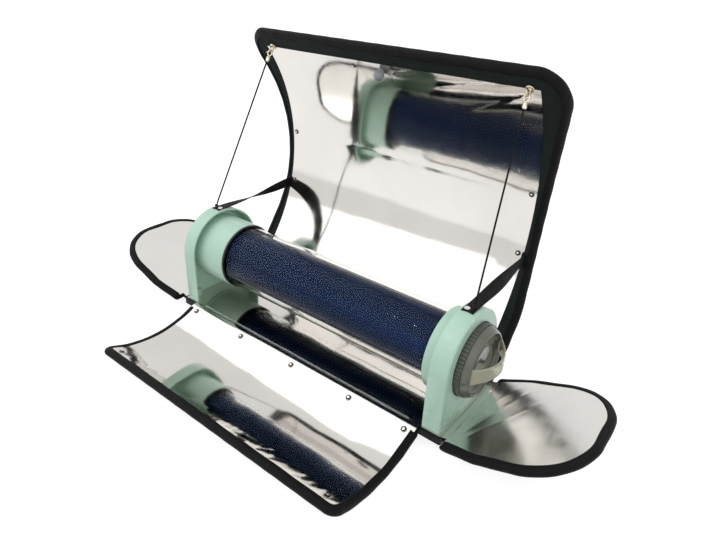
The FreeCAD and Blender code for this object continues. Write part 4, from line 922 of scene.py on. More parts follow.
@dataclass(frozen=True)
class FrontPanel(Panel):
    """Front reflector: one arc that dips to the ground and rises to its front edge."""
    name: str = "front"
    body: str = "front_reflector"
    hinge: tuple = (-90 * MM, 29.2 * MM)
    radius: float = 198 * MM
    reach: float = 286 * MM
    half: float = 268 * MM
    corner: float = 18 * MM

    def centre(self) -> tuple[np.ndarray, float]:
        """The arc's centre over its lowest line, and the angle of the hinge seen from there."""
        height = self.radius + self.thickness
        middle = self.radius + self.thickness / 2
        near = -math.asin((height - self.hinge[1]) / middle)
        return np.array([self.hinge[0] - middle * math.cos(near), height]), near

    def place(self, along: np.ndarray, across: np.ndarray, lift: np.ndarray) -> np.ndarray:
        """Centre + (radius - lift) * (cos, sin), the angle falling from the hinge's as the way along grows."""
        centre, near = self.centre()
        angle = near - along / self.radius
        reach = self.radius - lift
        return np.stack(np.broadcast_arrays(across, centre[0] + reach * np.cos(angle),
                                            centre[1] + reach * np.sin(angle)), axis=-1)

    def along_at(self, line: np.ndarray) -> np.ndarray:
        """Way along the mirror side at a line y on it."""
        centre, near = self.centre()
        return self.radius * (near + np.arccos(np.clip((line - centre[0]) / self.radius, -1, 1)))

    def outline_rows(self) -> tuple[np.ndarray, np.ndarray]:
        """Straight sides, then corner arcs in plan."""
        centre, near = self.centre()
        first = centre[0] + self.radius * math.cos(near)
        lines = np.arange(first, -self.reach + self.corner, -self.step)
        turn = np.linspace(0, math.pi / 2, self.corner_steps)
        front = -self.reach + self.corner
        lines = np.concatenate([lines, front - self.corner * np.sin(turn)])
        half = np.concatenate([np.full(len(lines) - len(turn), self.half),
                               self.half - self.corner * (1 - np.cos(turn))])
        return self.along_at(lines), half


@dataclass(frozen=True)
class FlapPanel(Panel):
    """End flap: flat, tilted up from its hinge, with a D-shaped outline."""
    name: str = "right_flap"
    body: str = "right_flap"
    side: int = 1
    hinge: tuple = (307.2 * MM, 29.2 * MM)
    tilt: float = math.radians(20)
    length: float = 210 * MM
    half: float = 111 * MM
    root: float = 99 * MM
    shoulder: float = 62 * MM
    corner: float = 90 * MM
    step: float = 6 * MM
    corner_steps: int = 34
    rounded: float = 95 * MM

    def place(self, along: np.ndarray, across: np.ndarray, lift: np.ndarray) -> np.ndarray:
        """Hinge + along * (cos tilt, sin tilt) + (half thickness + lift) square to it, mirrored for the left flap."""
        off = self.thickness / 2 + lift
        x = self.hinge[0] + along * math.cos(self.tilt) - off * math.sin(self.tilt)
        z = self.hinge[1] + along * math.sin(self.tilt) + off * math.cos(self.tilt)
        return np.stack(np.broadcast_arrays(self.side * x, self.side * across, z), axis=-1)

    def outline_rows(self) -> tuple[np.ndarray, np.ndarray]:
        """Sides that widen to the shoulder, run straight, and turn a large corner to the outer edge."""
        straight = np.arange(0, self.length - self.corner, self.step)
        side = np.interp(straight, [0, self.shoulder], [self.root, self.half])
        turn = np.linspace(0, math.pi / 2, self.corner_steps)
        along = np.concatenate([straight, self.length - self.corner * (1 - np.sin(turn))])
        return along, np.concatenate([side, self.half - self.corner * (1 - np.cos(turn))])


@dataclass(frozen=True)
class BasePad(Panel):
    """The base's padded casing: a level slab with small corners, met as a panel that starts at its left end."""
    name: str = "base"
    body: str = "base"
    thickness: float = 12 * MM
    start: float = 0.0
    end: float = 301.7 * MM
    front: float = -84.5 * MM
    back: float = 89.7 * MM
    top: float = 30 * MM
    corner: float = 6 * MM

    def place(self, along: np.ndarray, across: np.ndarray, lift: np.ndarray) -> np.ndarray:
        """Level: x runs along from the left end, y across from the middle line."""
        middle = (self.front + self.back) / 2
        return np.stack(np.broadcast_arrays(along - self.end, middle + across, self.top + lift), axis=-1)

    def outline_rows(self) -> tuple[np.ndarray, np.ndarray]:
        """Straight sides and small corner arcs at the right end; the left end's corners are tapered likewise."""
        half = (self.back - self.front) / 2
        turn = np.linspace(0, math.pi / 2, self.corner_steps)
        left = np.array([0, 1, 2.5, 4.5, 7]) * MM
        straight = np.arange(14 * MM, 2 * self.end - self.corner, self.step)
        along = np.concatenate([left, straight, 2 * self.end - self.corner * (1 - np.sin(turn))])
        drop = np.interp(along, [0, 1 * MM, 3 * MM, 6 * MM], [self.corner, 2.6 * MM, 0.8 * MM, 0])
        drop[-len(turn):] = self.corner * (1 - np.cos(turn))
        return along, half - drop


# Sub-assemblies

@dataclass
class Studio:
    """Pale floor, soft lamps and the camera at the photograph's viewing angle."""
    image_width: float = 716
    lens: float = 28.695
    azimuth: float = math.radians(36.857)
    elevation: float = math.radians(27.81)
    roll: float = math.radians(2.618)
    eye: tuple = (0.57127, -0.66729, 0.65356)
    raise_pixels: float = 8.366
    floor_half: float = 4.0

    def camera(self) -> None:
        """Stand the camera at its place, turned by azimuth, elevation and a small roll."""
        back = Vector((math.sin(self.azimuth) * math.cos(self.elevation),
                       -math.cos(self.azimuth) * math.cos(self.elevation), math.sin(self.elevation)))
        right = Vector((0, 0, 1)).cross(back).normalized()
        up = back.cross(right)
        turned = right * math.cos(self.roll) + up * math.sin(self.roll)
        upward = up * math.cos(self.roll) - right * math.sin(self.roll)
        data = bpy.data.cameras.new("camera")
        data.lens = self.lens
        data.sensor_width = 36
        data.shift_y = -self.raise_pixels / self.image_width
        item = bpy.data.objects.new("camera", data)
        bpy.context.scene.collection.objects.link(item)
        turn = Matrix((turned, upward, back)).transposed().to_4x4()
        item.matrix_world = Matrix.Translation(self.eye) @ turn
        bpy.context.scene.camera = item

    def background(self) -> None:
        """A world that is white to the camera and in reflections, and a plain soft light to all else."""
        world = bpy.data.worlds.new("studio")
        bpy.context.scene.world = world
        world.use_nodes = True
        nodes, links = world.node_tree.nodes, world.node_tree.links
        nodes.clear()
        seen = seen_factor(world.node_tree)
        white = nodes.new("ShaderNodeBackground")
        light = nodes.new("ShaderNodeBackground")
        light.inputs["Color"].default_value = (0.97, 0.98, 1.0, 1)
        light.inputs["Strength"].default_value = 0.74
        white.inputs["Color"].default_value = (1, 1, 1, 1)
        mix = nodes.new("ShaderNodeMixShader")
        output = nodes.new("ShaderNodeOutputWorld")
        links.new(seen, mix.inputs[0])
        links.new(light.outputs[0], mix.inputs[1])
        links.new(white.outputs[0], mix.inputs[2])
        links.new(mix.outputs[0], output.inputs["Surface"])

    def floor(self) -> None:
        """A level floor: part plain white, which keeps the object's shadow, part white glow for what sees it."""
        half = self.floor_half
        corners = np.array([[-half, -half, 0], [half, -half, 0], [half, half, 0], [-half, half, 0]])
        corners[:, 2] = -0.2 * MM
        item = make_piece("floor", corners, [[0, 1, 2, 3]])
        material = bpy.data.materials.new("floor")
        material.use_nodes = True
        tree = material.node_tree
        tree.nodes.clear()
        plain = tree.nodes.new("ShaderNodeBsdfDiffuse")
        plain.inputs["Color"].default_value = (0.42, 0.42, 0.42, 1)
        glow = tree.nodes.new("ShaderNodeEmission")
        both = tree.nodes.new("ShaderNodeAddShader")
        output = tree.nodes.new("ShaderNodeOutputMaterial")
        level = tree.nodes.new("ShaderNodeMath")
        level.operation = "MULTIPLY"
        level.inputs[1].default_value = 0.84
        tree.links.new(seen_factor(tree), level.inputs[0])
        tree.links.new(level.outputs[0], glow.inputs["Strength"])
        tree.links.new(plain.outputs[0], both.inputs[0])
        tree.links.new(glow.outputs[0], both.inputs[1])
        tree.links.new(both.outputs[0], output.inputs["Surface"])
        item.data.materials.append(material)

    def lamp(self, name: str, place: tuple, size: tuple, power: float) -> None:
        """A rectangular soft lamp that points at the middle of the object."""
        data = bpy.data.lights.new(name, "AREA")
        data.shape = "RECTANGLE"
        data.size, data.size_y = size
        data.energy = power
        item = bpy.data.objects.new(name, data)
        item.location = place
        item.rotation_mode = "QUATERNION"
        item.rotation_quaternion = (Vector((0, 0, 0.15)) - Vector(place)).to_track_quat("-Z", "Y")
        bpy.context.scene.collection.objects.link(item)

    def build(self) -> None:
        """Set the studio up."""
        self.camera()
        self.background()
        self.floor()
        self.lamp("key", (-1.5, -1.3, 2.3), (4.4, 4.4), 44)
        self.lamp("top_strip", (-0.55, -0.9, 1.5), (0.25, 0.03), 1.4)
        self.lamp("fill", (1.9, -0.6, 1.4), (2.4, 2.4), 10)
        bpy.context.scene.view_settings.view_transform = "Standard"


def seen_factor(tree: bpy.types.NodeTree) -> bpy.types.NodeSocket:
    """1 for rays from the camera, off gloss or through glass, and 0 for the light that falls on things."""
    path = tree.nodes.new("ShaderNodeLightPath")
    total = None
    for name in ("Is Camera Ray", "Is Glossy Ray", "Is Transmission Ray"):
        if total is None:
            total = path.outputs[name]
            continue
        larger = tree.nodes.new("ShaderNodeMath")
        larger.operation = "MAXIMUM"
        tree.links.new(total, larger.inputs[0])
        tree.links.new(path.outputs[name], larger.inputs[1])
        total = larger.outputs[0]
    return total


@dataclass
class TensionCord:
    """One braided cord from the back reflector's hook down to a knot on the stand's strap."""
    prefix: str
    side: int
    paint: Paint
    top: tuple = (259.26 * MM, 123.38 * MM, 476.77 * MM)
    bottom: tuple = (285.67 * MM, 1.52 * MM, 216.35 * MM)
    knot: tuple = (286 * MM, 0.0, 213.1 * MM)
    knot_radius: float = 3.6 * MM
    length: float = 288.7 * MM
    radius: float = 1.5 * MM

    def route(self) -> np.ndarray:
        """Points read from a NURBS spline through the taut run's two ends and two points near them."""
        first = np.array(self.top) * (self.side, 1, 1)
        last = np.array(self.bottom) * (self.side, 1, 1)
        shares = (0.0, 0.07, 0.93, 1.0)
        data = bpy.data.curves.new("route", "CURVE")
        data.dimensions = "3D"
        spline = data.splines.new("NURBS")
        spline.points.add(len(shares) - 1)
        for point, share in zip(spline.points, shares):
            point.co = (*(first + (last - first) * share), 1)
        spline.order_u = 3
        spline.use_endpoint_u = True
        spline.resolution_u = 40
        carrier = bpy.data.objects.new("route", data)
        mesh = bpy.data.meshes.new_from_object(carrier)
        points = np.empty(len(mesh.vertices) * 3)
        mesh.vertices.foreach_get("co", points)
        bpy.data.meshes.remove(mesh)
        bpy.data.objects.remove(carrier)
        bpy.data.curves.remove(data)
        return points.reshape(-1, 3)

    def tube(self, path: np.ndarray) -> bpy.types.Object:
        """The cord: a round section with eight shallow strands that wind round it."""
        path = resample(path, 1.2 * MM)
        tangent, side, up = path_frames(path, np.array([1.0, 0, 0]))
        angle = np.linspace(0, 2 * math.pi, 16, endpoint=False)
        reach = run_lengths(path)
        weave = np.cos(4 * angle[None] + reach[:, None] * 700) * np.cos(4 * angle[None] - reach[:, None] * 700)
        radius = self.radius * (0.97 + 0.05 * weave)
        points = (path[:, None] + side[:, None] * (radius * np.cos(angle))[..., None]
                  + up[:, None] * (radius * np.sin(angle))[..., None])
        uv = np.stack(np.broadcast_arrays(reach[:, None], angle[None] * self.radius), axis=-1)
        return solid_piece(f"{self.prefix}_tension_cord", *closed_rows(points, uv))

    def knot_piece(self) -> bpy.types.Object:
        """The knot: a cord along a trefoil, (sin t + 2 sin 2t, cos t - 2 cos 2t, -sin 3t) scaled to its size."""
        turn = np.linspace(0, 2 * math.pi, 72, endpoint=False)
        line = np.stack([np.sin(turn) + 2 * np.sin(2 * turn), np.cos(turn) - 2 * np.cos(2 * turn),
                         -1.6 * np.sin(3 * turn)], axis=-1)
        scale = (self.knot_radius - 0.9 * self.radius) / 3
        line = line * scale + np.array(self.knot) * (self.side, 1, 1)
        return joined(f"{self.prefix}_braided_knot", [closed_tube(line, self.radius * 0.9, 10)])

    def build(self) -> None:
        """Make the cord and its knot, and state the cord's facts."""
        path = self.route()
        cord = self.paint.coat(self.tube(path), Slot.cord_braid)
        knot = self.paint.coat(self.knot_piece(), Slot.cord_braid)
        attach(knot, "base")
        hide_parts(f"{self.prefix}_cord_knot")
        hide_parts(f"{self.prefix}_cord")
        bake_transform(cord)
        LOG.info("%s: cord %.1f mm", self.prefix, run_lengths(path)[-1] / MM)


@dataclass
class Strap:
    """A webbing strap from a stand's top to the back reflector, with a quarter turn on the way."""
    prefix: str
    side: int
    paint: Paint
    panel: BackPanel
    width: float = 20 * MM
    gauge: float = 1.5 * MM
    top: float = 208 * MM
    place: float = 279 * MM
    tail: float = 9 * MM
    flat: float = 14 * MM
    far_place: float = 276 * MM
    far_height: float = 214 * MM
    notch: float = 4 * MM
    sag: float = 2.2 * MM

    def far_point(self) -> np.ndarray:
        """Where the strap meets the back reflector's face."""
        along = self.panel.along_at(np.array([self.far_height]))
        return self.panel.place(along, np.array([self.side * self.far_place]), np.array([0.9 * MM]))[0]

    def build(self) -> None:
        """A flat tail with a notched end, then a run whose section turns by a quarter as a smooth step."""
        level = self.top + self.gauge / 2 + 0.05 * MM
        near = np.array([self.side * self.place, self.flat, level])
        far = self.far_point()
        share = np.linspace(0, 1, 46)
        run = near + (far - near) * share[:, None]
        run[:, 2] -= self.sag * np.sin(math.pi * share)
        start = np.linspace(-self.tail, self.flat, 12)[:-1]
        lead = np.stack([np.full(len(start), near[0]), start, np.full(len(start), level)], axis=-1)
        path = np.concatenate([lead, run])
        twist = np.concatenate([np.zeros(len(start)), self.side * math.pi / 2 * smooth_step(share * 1.04 - 0.02)])
        across = np.linspace(-1, 1, 15)
        rim = np.sqrt(1 - 0.9 * np.abs(across) ** 8)
        width = self.width / 2 * across
        upper = np.stack([width, self.gauge / 2 * rim], axis=-1)
        lower = np.stack([width[::-1], -self.gauge / 2 * rim[::-1]], axis=-1)
        section = np.concatenate([lower, upper])
        cos, sin = np.cos(twist)[:, None], np.sin(twist)[:, None]
        x = section[None, :, 0] * cos + section[None, :, 1] * sin
        z = -section[None, :, 0] * sin + section[None, :, 1] * cos
        points = path[:, None] + np.stack([x, np.zeros_like(x), z], axis=-1)
        pulled = self.notch * (1 - np.abs(section[:, 0]) / (self.width / 2))
        fade = np.clip(1 - np.arange(len(path)) / 6, 0, 1)
        points[..., 1] += fade[:, None] * pulled[None]
        uv = np.stack(np.broadcast_arrays(run_lengths(path)[:, None], section[None, :, 0]), axis=-1)
        strap = self.paint.coat(solid_piece(f"{self.prefix}_webbing_strap", *closed_rows(points, uv)), Slot.webbing)
        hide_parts(f"{self.prefix}_strap")
        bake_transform(strap)
        patch = self.end_patch(far)
        LOG.info("%s: strap and %s", self.prefix, patch.name)

    def end_patch(self, far: np.ndarray) -> bpy.types.Object:
        """The folded end of the strap, sewn flat on the facing round its end."""
        along = self.panel.along_at(np.array([self.far_height]))[0]
        length, half = 24 * MM, 6 * MM
        angle = np.linspace(0, 2 * math.pi, 40, endpoint=False)
        squircle = (np.abs(np.cos(angle)) ** 6 + np.abs(np.sin(angle)) ** 6) ** (-1 / 6)
        outline = np.stack([along + length / 2 * squircle * np.sin(angle),
                            self.side * self.far_place + half * squircle * np.cos(angle)], axis=-1)
        shares = np.array([1.0, 1.0, 0.93, 0.6, 0.25])
        lifts = np.array([0.8, 1.7, 2.2, 2.35, 2.3]) * MM
        middle = np.array([along, self.side * self.far_place])
        flat = middle + (outline[None] - middle) * shares[:, None, None]
        points = self.panel.place(flat[..., 0], flat[..., 1], np.broadcast_to(lifts[:, None], flat.shape[:2]))
        peak = self.panel.place(middle[0], middle[1], 2.35 * MM).reshape(1, 3)
        foot = self.panel.place(middle[0], middle[1], 0.8 * MM).reshape(1, 3)
        numbers = np.arange(len(shares) * len(angle)).reshape(len(shares), -1)
        count = numbers.size
        fan = [[count, a, b] for a, b in zip(np.roll(numbers[-1], -1), numbers[-1])]
        base = [[count + 1, a, b] for a, b in zip(numbers[0], np.roll(numbers[0], -1))]
        uv = np.concatenate([flat.reshape(-1, 2), middle[None], middle[None]])
        patch = solid_piece(f"{self.prefix}_strap_patch", np.concatenate([points.reshape(-1, 3), peak, foot]),
                            grid_faces(numbers, wrap=True).tolist() + fan + base, uv)
        self.paint.coat(patch, Slot.webbing)
        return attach(patch, "back_reflector")


@dataclass
class SnapStuds:
    """Snap studs on a panel: a rolled socket ring and a domed button, turned about each stud's axis."""
    node: str
    panel: Panel
    places: tuple
    paint: Paint
    radius: float = 5 * MM
    height: float = 2.6 * MM
    sides: int = 24

    def build(self) -> None:
        """Turn the profile (radius, height) once for every place: place + normal * height + ring * radius."""
        profile = np.array([[1.0, -0.3], [1.0, 0.30], [0.94, 0.46], [0.84, 0.52], [0.74, 0.46], [0.66, 0.34],
                            [0.60, 0.34], [0.58, 0.72], [0.52, 0.90], [0.40, 0.98], [0.24, 1.0], [0.05, 1.0]])
        along = np.array([place[0] for place in self.places])
        across = np.array([place[1] for place in self.places])
        ground = self.panel.place(along, across, np.full(len(along), 0.8 * MM))
        normal = self.panel.place(along, across, np.full(len(along), 1.8 * MM)) - ground
        normal /= np.linalg.norm(normal, axis=1, keepdims=True)
        first = np.cross(normal, [1.0, 0, 0])
        first /= np.linalg.norm(first, axis=1, keepdims=True)
        second = np.cross(normal, first)
        angle = np.linspace(0, 2 * math.pi, self.sides, endpoint=False)
        spoke = (first[:, None] * np.cos(angle)[None, :, None] + second[:, None] * np.sin(angle)[None, :, None])
        points = (ground[:, None, None] + normal[:, None, None] * (profile[:, 1] * self.height)[None, :, None, None]
                  + spoke[:, None] * (profile[:, 0] * self.radius)[None, :, None, None])
        rows = len(profile)
        one = np.arange(rows * self.sides).reshape(rows, self.sides)
        starts = np.arange(len(along)) * one.size
        faces = (grid_faces(one, wrap=True)[None] + starts[:, None, None]).reshape(-1, 4).tolist()
        faces += (one[0][None] + starts[:, None]).tolist() + (one[-1][None] + starts[:, None]).tolist()
        uv = np.broadcast_to(np.stack([profile[:, 0] * self.radius, profile[:, 1] * self.height], axis=-1)[None, :, None],
                             (len(along), rows, self.sides, 2))
        studs = solid_piece(f"{self.panel.name}_snap_studs", points, faces, uv)
        self.paint.coat(studs, Slot.bright_metal)
        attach(studs, self.panel.body)
        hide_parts(self.node)
        LOG.info("%s: %d snap studs", self.panel.name, len(along))


@dataclass
class HingePiping:
    """Fabric piping on a hinge's axis: a covered bead with rounded ends and a sewn seam underneath."""
    node: str
    body: str
    axis: tuple
    direction: tuple
    half_length: float
    radius: float
    paint: Paint
    flange: tuple | None = None

    def build(self) -> None:
        """Radius along the bead is r * sqrt(1 - ((s - end) / r)^2) at its ends, with a slight waviness between."""
        run = np.array(self.direction, float)
        middle = np.array(self.axis)
        inner = np.linspace(-self.half_length + self.radius, self.half_length - self.radius, 90)
        cap = self.radius * np.cos(np.linspace(0, math.pi / 2, 7))[:-1]
        places = np.concatenate([-self.half_length + self.radius - cap, inner, self.half_length - self.radius + cap[::-1]])
        over = np.clip(np.abs(places) - (self.half_length - self.radius), 0, self.radius * 0.999)
        girth = np.sqrt(self.radius ** 2 - over ** 2) * (1 + 0.012 * np.sin(places * 130))
        angle = np.linspace(0, 2 * math.pi, 20, endpoint=False)
        side = np.cross(run, [0, 0, 1.0])
        points = (middle + run * places[:, None, None] + side * (girth[:, None] * np.cos(angle))[..., None]
                  + np.array([0, 0, 1.0]) * (girth[:, None] * np.sin(angle))[..., None])
        uv = np.stack(np.broadcast_arrays(places[:, None], angle[None] * self.radius), axis=-1)
        bead = self.paint.coat(solid_piece(f"{self.node}_bead", *closed_rows(points, uv)), Slot.binding_tape)
        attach(bead, self.body)
        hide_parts(self.node)
        if self.flange is not None:
            self.tape(run, middle)
        LOG.info("%s: bead", self.node)

    def tape(self, run: np.ndarray, middle: np.ndarray) -> None:
        """The flat tape that holds the bead to the base's edge."""
        edge = np.array(self.flange)
        length = np.linalg.norm(edge - middle)
        reach = self.half_length - self.radius
        path = middle + run * np.linspace(-reach, reach, 60)[:, None]
        towards = (edge - middle) / length
        half = (length + 1.5 * MM) / 2
        drop = 3.0 * MM
        section = np.array([[-half, -0.6 * MM], [half, -0.6 * MM], [half, 0.6 * MM], [-half, 0.6 * MM]])
        centre = path + towards * (length / 2) - np.array([0, 0, drop])
        tape = sweep(f"{self.node}_tape", centre, section, np.array([0, 0, 1.0]))
        face_up(tape)
        self.paint.coat(tape, Slot.binding_tape)
        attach(tape, self.body)


@dataclass
class BaseTape:
    """The tape round the base's side: it covers the casing's, board's and film's edges."""
    base: BasePad
    paint: Paint
    low: float = 18.5 * MM
    high: float = 34.9 * MM
    outside: float = 0.5 * MM
    inside: float = 0.5 * MM
    corner: float = 2 * MM

    def build(self) -> None:
        """Carry a narrow upright section with a rounded top round a rectangle with small corner arcs."""
        half = np.array([self.base.end, (self.base.back - self.base.front) / 2])
        middle = np.array([0, (self.base.back + self.base.front) / 2])
        angle = np.linspace(0, math.pi / 2, 7)
        spoke = np.concatenate([np.stack([np.cos(angle + turn), np.sin(angle + turn)], axis=-1)
                                for turn in np.arange(4) * math.pi / 2])
        centre = middle + np.repeat(np.array([[1, 1], [-1, 1], [-1, -1], [1, -1]]), 7, axis=0) * (half - self.corner)
        round_top = np.linspace(0, math.pi, 7)
        width = (self.outside + self.inside) / 2
        arc = np.stack([width * np.cos(round_top), self.high - width + width * np.sin(round_top)], axis=-1)
        section = np.concatenate([[[width, self.low]], arc, [[-width, self.low]]])
        off = self.corner + section[:, 0] + (self.outside - self.inside) / 2
        flat = centre[:, None] + spoke[:, None] * off[None, :, None]
        points = np.concatenate([flat, np.broadcast_to(section[None, :, 1:], (*flat.shape[:2], 1))], axis=-1)
        numbers = np.arange(points.shape[0] * points.shape[1]).reshape(points.shape[:2])
        reach = run_lengths(centre + spoke * self.corner)
        uv = np.stack(np.broadcast_arrays(reach[:, None], section[None, :, 1]), axis=-1)
        faces = grid_faces(np.concatenate([numbers, numbers[:1]]), wrap=True)
        tape = solid_piece("base_edge_tape", points, faces, uv)
        self.paint.coat(tape, Slot.binding_tape)
        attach(tape, "base")
        LOG.info("base edge tape")


@dataclass
class HingeWeb:
    """Film or fabric that joins the base's face to a panel's face over a hinge bead."""
    name: str
    panel: Panel
    bodies: tuple
    half: float
    first: tuple
    lifted: float
    paint: Paint
    slot: Slot
    finish: object | None = None
    crest: tuple | None = None

    def build(self) -> bpy.types.Object:
        """A quadratic curve from the base's edge to the panel's face, carried along the hinge.

        With t from 0 to 1 a point is (1 - t)^2 * start + 2t(1 - t) * top + t^2 * end, where the top is lifted
        off the bead, and it ripples a little along the hinge.
        """
        across = np.linspace(-self.half, self.half, int(2 * self.half / (5 * MM)))
        start = np.array(self.first)
        end_along = self.panel.trim_start + 3 * MM
        end = self.panel.place(np.full(len(across), end_along), across, np.full(len(across), 0.9 * MM))
        begin = end.copy()
        if abs(end[0, 0] - end[-1, 0]) < 1e-9:
            begin[:, 0], begin[:, 2] = start[0], start[1]
        else:
            begin[:, 1], begin[:, 2] = start[0], start[1]
        top = (begin + end) / 2
        if self.crest is not None:
            top[:, 1:] = self.crest
        top[:, 2] += self.lifted * (1 + 0.25 * np.sin(across * 90) + 0.2 * np.sin(across * 230 + 1))
        share = np.linspace(0, 1, 11)[:, None, None]
        points = (1 - share) ** 2 * begin + 2 * share * (1 - share) * top + share ** 2 * end
        numbers = np.arange(points.shape[0] * points.shape[1]).reshape(points.shape[:2])
        reach = np.linalg.norm(end[0] - begin[0])
        uv = np.stack(np.broadcast_arrays(share[..., 0] * reach, across[None]), axis=-1)
        web = make_piece(self.name, points, grid_faces(numbers).tolist(), uv)
        upright(web)
        thicken(web, 0.25 * MM)
        self.paint.coat(web, self.slot, self.finish)
        max(surface_area(web) / (2 * self.half), 0.011)
        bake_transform(web)
        LOG.info("%s: web", self.name)
        return web


def upright(item: bpy.types.Object) -> None:
    """Turn an open sheet's faces over if, weighted by area, more of them look down than up."""
    area = np.empty(len(item.data.polygons))
    normal = np.empty(len(item.data.polygons) * 3)
    item.data.polygons.foreach_get("area", area)
    item.data.polygons.foreach_get("normal", normal)
    if (normal.reshape(-1, 3)[:, 2] * area).sum() < 0:
        item.data.flip_normals()


def thicken(item: bpy.types.Object, gauge: float) -> None:
    """Give a sheet its thickness, behind its face, with a sharp edge to its rim."""
    work = bmesh.new()
    work.from_mesh(item.data)
    for edge in work.edges:
        edge.smooth = not edge.is_boundary
    work.to_mesh(item.data)
    work.free()
    wall = item.modifiers.new("thickness", "SOLIDIFY")
    wall.thickness = gauge
    wall.offset = -1


def surface_area(item: bpy.types.Object) -> float:
    """Area of a sheet that is still one face thick."""
    area = np.empty(len(item.data.polygons))
    item.data.polygons.foreach_get("area", area)
    return float(area.sum())


@dataclass
class PanelSet:
    """One padded panel with its casing, binding, stitches and films."""
    panel: Panel
    paint: Paint
    crinkle: Crinkle
    nodes: tuple
    film_half: float = 1.0
    film_far: float = 1.0
    film_slot: Slot = Slot.mirror_film
    film_finish: object | None = None
    facing: bool = False

    def sheet(self, item: bpy.types.Object) -> None:
        """Thicken a film; its area is taken first but not stated."""
        area = surface_area(item)
        thicken(item, 0.18 * MM)

    def build(self) -> None:
        """Make every layer of the panel and tie it to its body."""
        panel, body = self.panel, self.panel.body
        casing_node, binding_node, film_node = self.nodes
        casing = self.paint.coat(panel.casing(), Slot.casing_fabric)
        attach(casing, body)
        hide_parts(casing_node)
        if binding_node:
            binding = self.paint.coat(panel.binding(), Slot.binding_tape)
            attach(binding, body)
            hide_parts(binding_node)
            face = panel.stitches(8.6 * MM, 0.7 * MM + 1.15 * MM, "face_stitches")
            rear = panel.stitches(8.6 * MM, -panel.thickness - 1.3 * MM, "rear_stitches")
            for row in (face, rear):
                self.paint.coat(row, Slot.cord_braid)
                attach(row, body)
        film = panel.film(self.crinkle, self.film_half, self.film_far, 9 * MM if binding_node else 0.2 * MM)
        upright(film)
        self.sheet(film)
        self.paint.coat(film, self.film_slot, self.film_finish)
        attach(film, body)
        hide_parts(film_node)
        if self.facing:
            plain = Crinkle(seed=5, wave=0.05 * MM, grid=8 * MM)
            backing = panel.film(plain, 1.0, 1.0, 9 * MM, 0.25 * MM, "facing_cloth")
            upright(backing)
            self.sheet(backing)
            self.paint.coat(backing, Slot.facing_fabric)
            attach(backing, body)
            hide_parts("back_facing")


@dataclass
class CordFittings:
    """Eye, swivel hook and barrel that hold one cord to the back reflector."""
    prefix: str
    side: int
    panel: BackPanel
    paint: Paint
    height: float = 503 * MM
    place: float = 257 * MM
    ring: float = 5 * MM
    hook: float = 5.5 * MM
    wire: float = 1.3 * MM
    barrel: float = 3.6 * MM
    length: float = 12 * MM
    knot: tuple = (286 * MM, 0.0, 213.1 * MM)

    def ring_line(self, centre: np.ndarray, first: np.ndarray, second: np.ndarray, wide: float) -> np.ndarray:
        """A ring round a centre: along one direction by the ring's radius, along the other by a part of it."""
        turn = np.linspace(0, 2 * math.pi, 36, endpoint=False)[:, None]
        return centre + first * np.cos(turn) + second * np.sin(turn) * wide

    def build(self) -> None:
        """A sewn plate with its ring, then a longer ring that hangs in it and ends in a turned barrel."""
        along = self.panel.along_at(np.array([self.height]))[0]
        across = np.array(self.side * self.place)
        foot = self.panel.place(np.array(along), across, np.array(0.3 * MM)).reshape(3)
        normal = self.panel.place(np.array(along), across, np.array(1.3 * MM)).reshape(3) - foot
        normal /= np.linalg.norm(normal)
        eye = foot + normal * (self.ring + self.wire)
        pull = np.array(self.knot) * (self.side, 1, 1) - eye
        pull /= np.linalg.norm(pull)
        square = np.cross(pull, normal)
        square /= np.linalg.norm(square)
        upright_in_plane = np.cross(square, pull)
        plate = np.array([[0, 6.4], [0.7, 6.9], [1.3, 6.6], [1.6, 5.2], [1.8, 3.0], [2.4, 2.2], [2.9, 2.0], [3.2, 0.8]]) * MM
        eye_line = self.ring_line(eye, pull * self.ring, upright_in_plane * self.ring, 1.0)
        eye_piece = joined(f"{self.prefix}_sewn_eye", [lathe(plate, foot, normal, 24), closed_tube(eye_line, self.wire, 10)])
        centre = eye + pull * (self.ring + self.hook - 2 * self.wire - 0.1 * MM)
        hook_line = self.ring_line(centre, pull * self.hook, square * self.hook, 0.8)
        start = centre + pull * (self.hook - self.wire / 2)
        turned = np.array([[0, 1.3], [0.3, 2.3], [1.2, 2.6], [1.8, 1.8], [2.6, 1.8], [3.0, 3.1], [3.6, 3.6], [5.2, 3.6],
                           [5.5, 3.3], [5.8, 3.6], [9.4, 3.6], [10.3, 3.2], [11.3, 2.7], [12.0, 2.2]]) * MM
        trigger = np.array([[0, 0.9], [2.6, 0.9], [2.9, 1.5], [3.6, 1.6], [4.0, 1.1]]) * MM
        hook_piece = joined(f"{self.prefix}_swivel_hook", [
            closed_tube(hook_line, self.wire, 10), lathe(turned, start, pull, 20),
            lathe(trigger, centre + square * self.hook * 0.72, square, 12)])
        for piece, node in ((eye_piece, "cord_eye"), (hook_piece, "cord_hook")):
            self.paint.coat(piece, Slot.hook_metal)
            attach(piece, "back_reflector")
            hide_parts(f"{self.prefix}_{node}")
        LOG.info("%s: eye and hook", self.prefix)


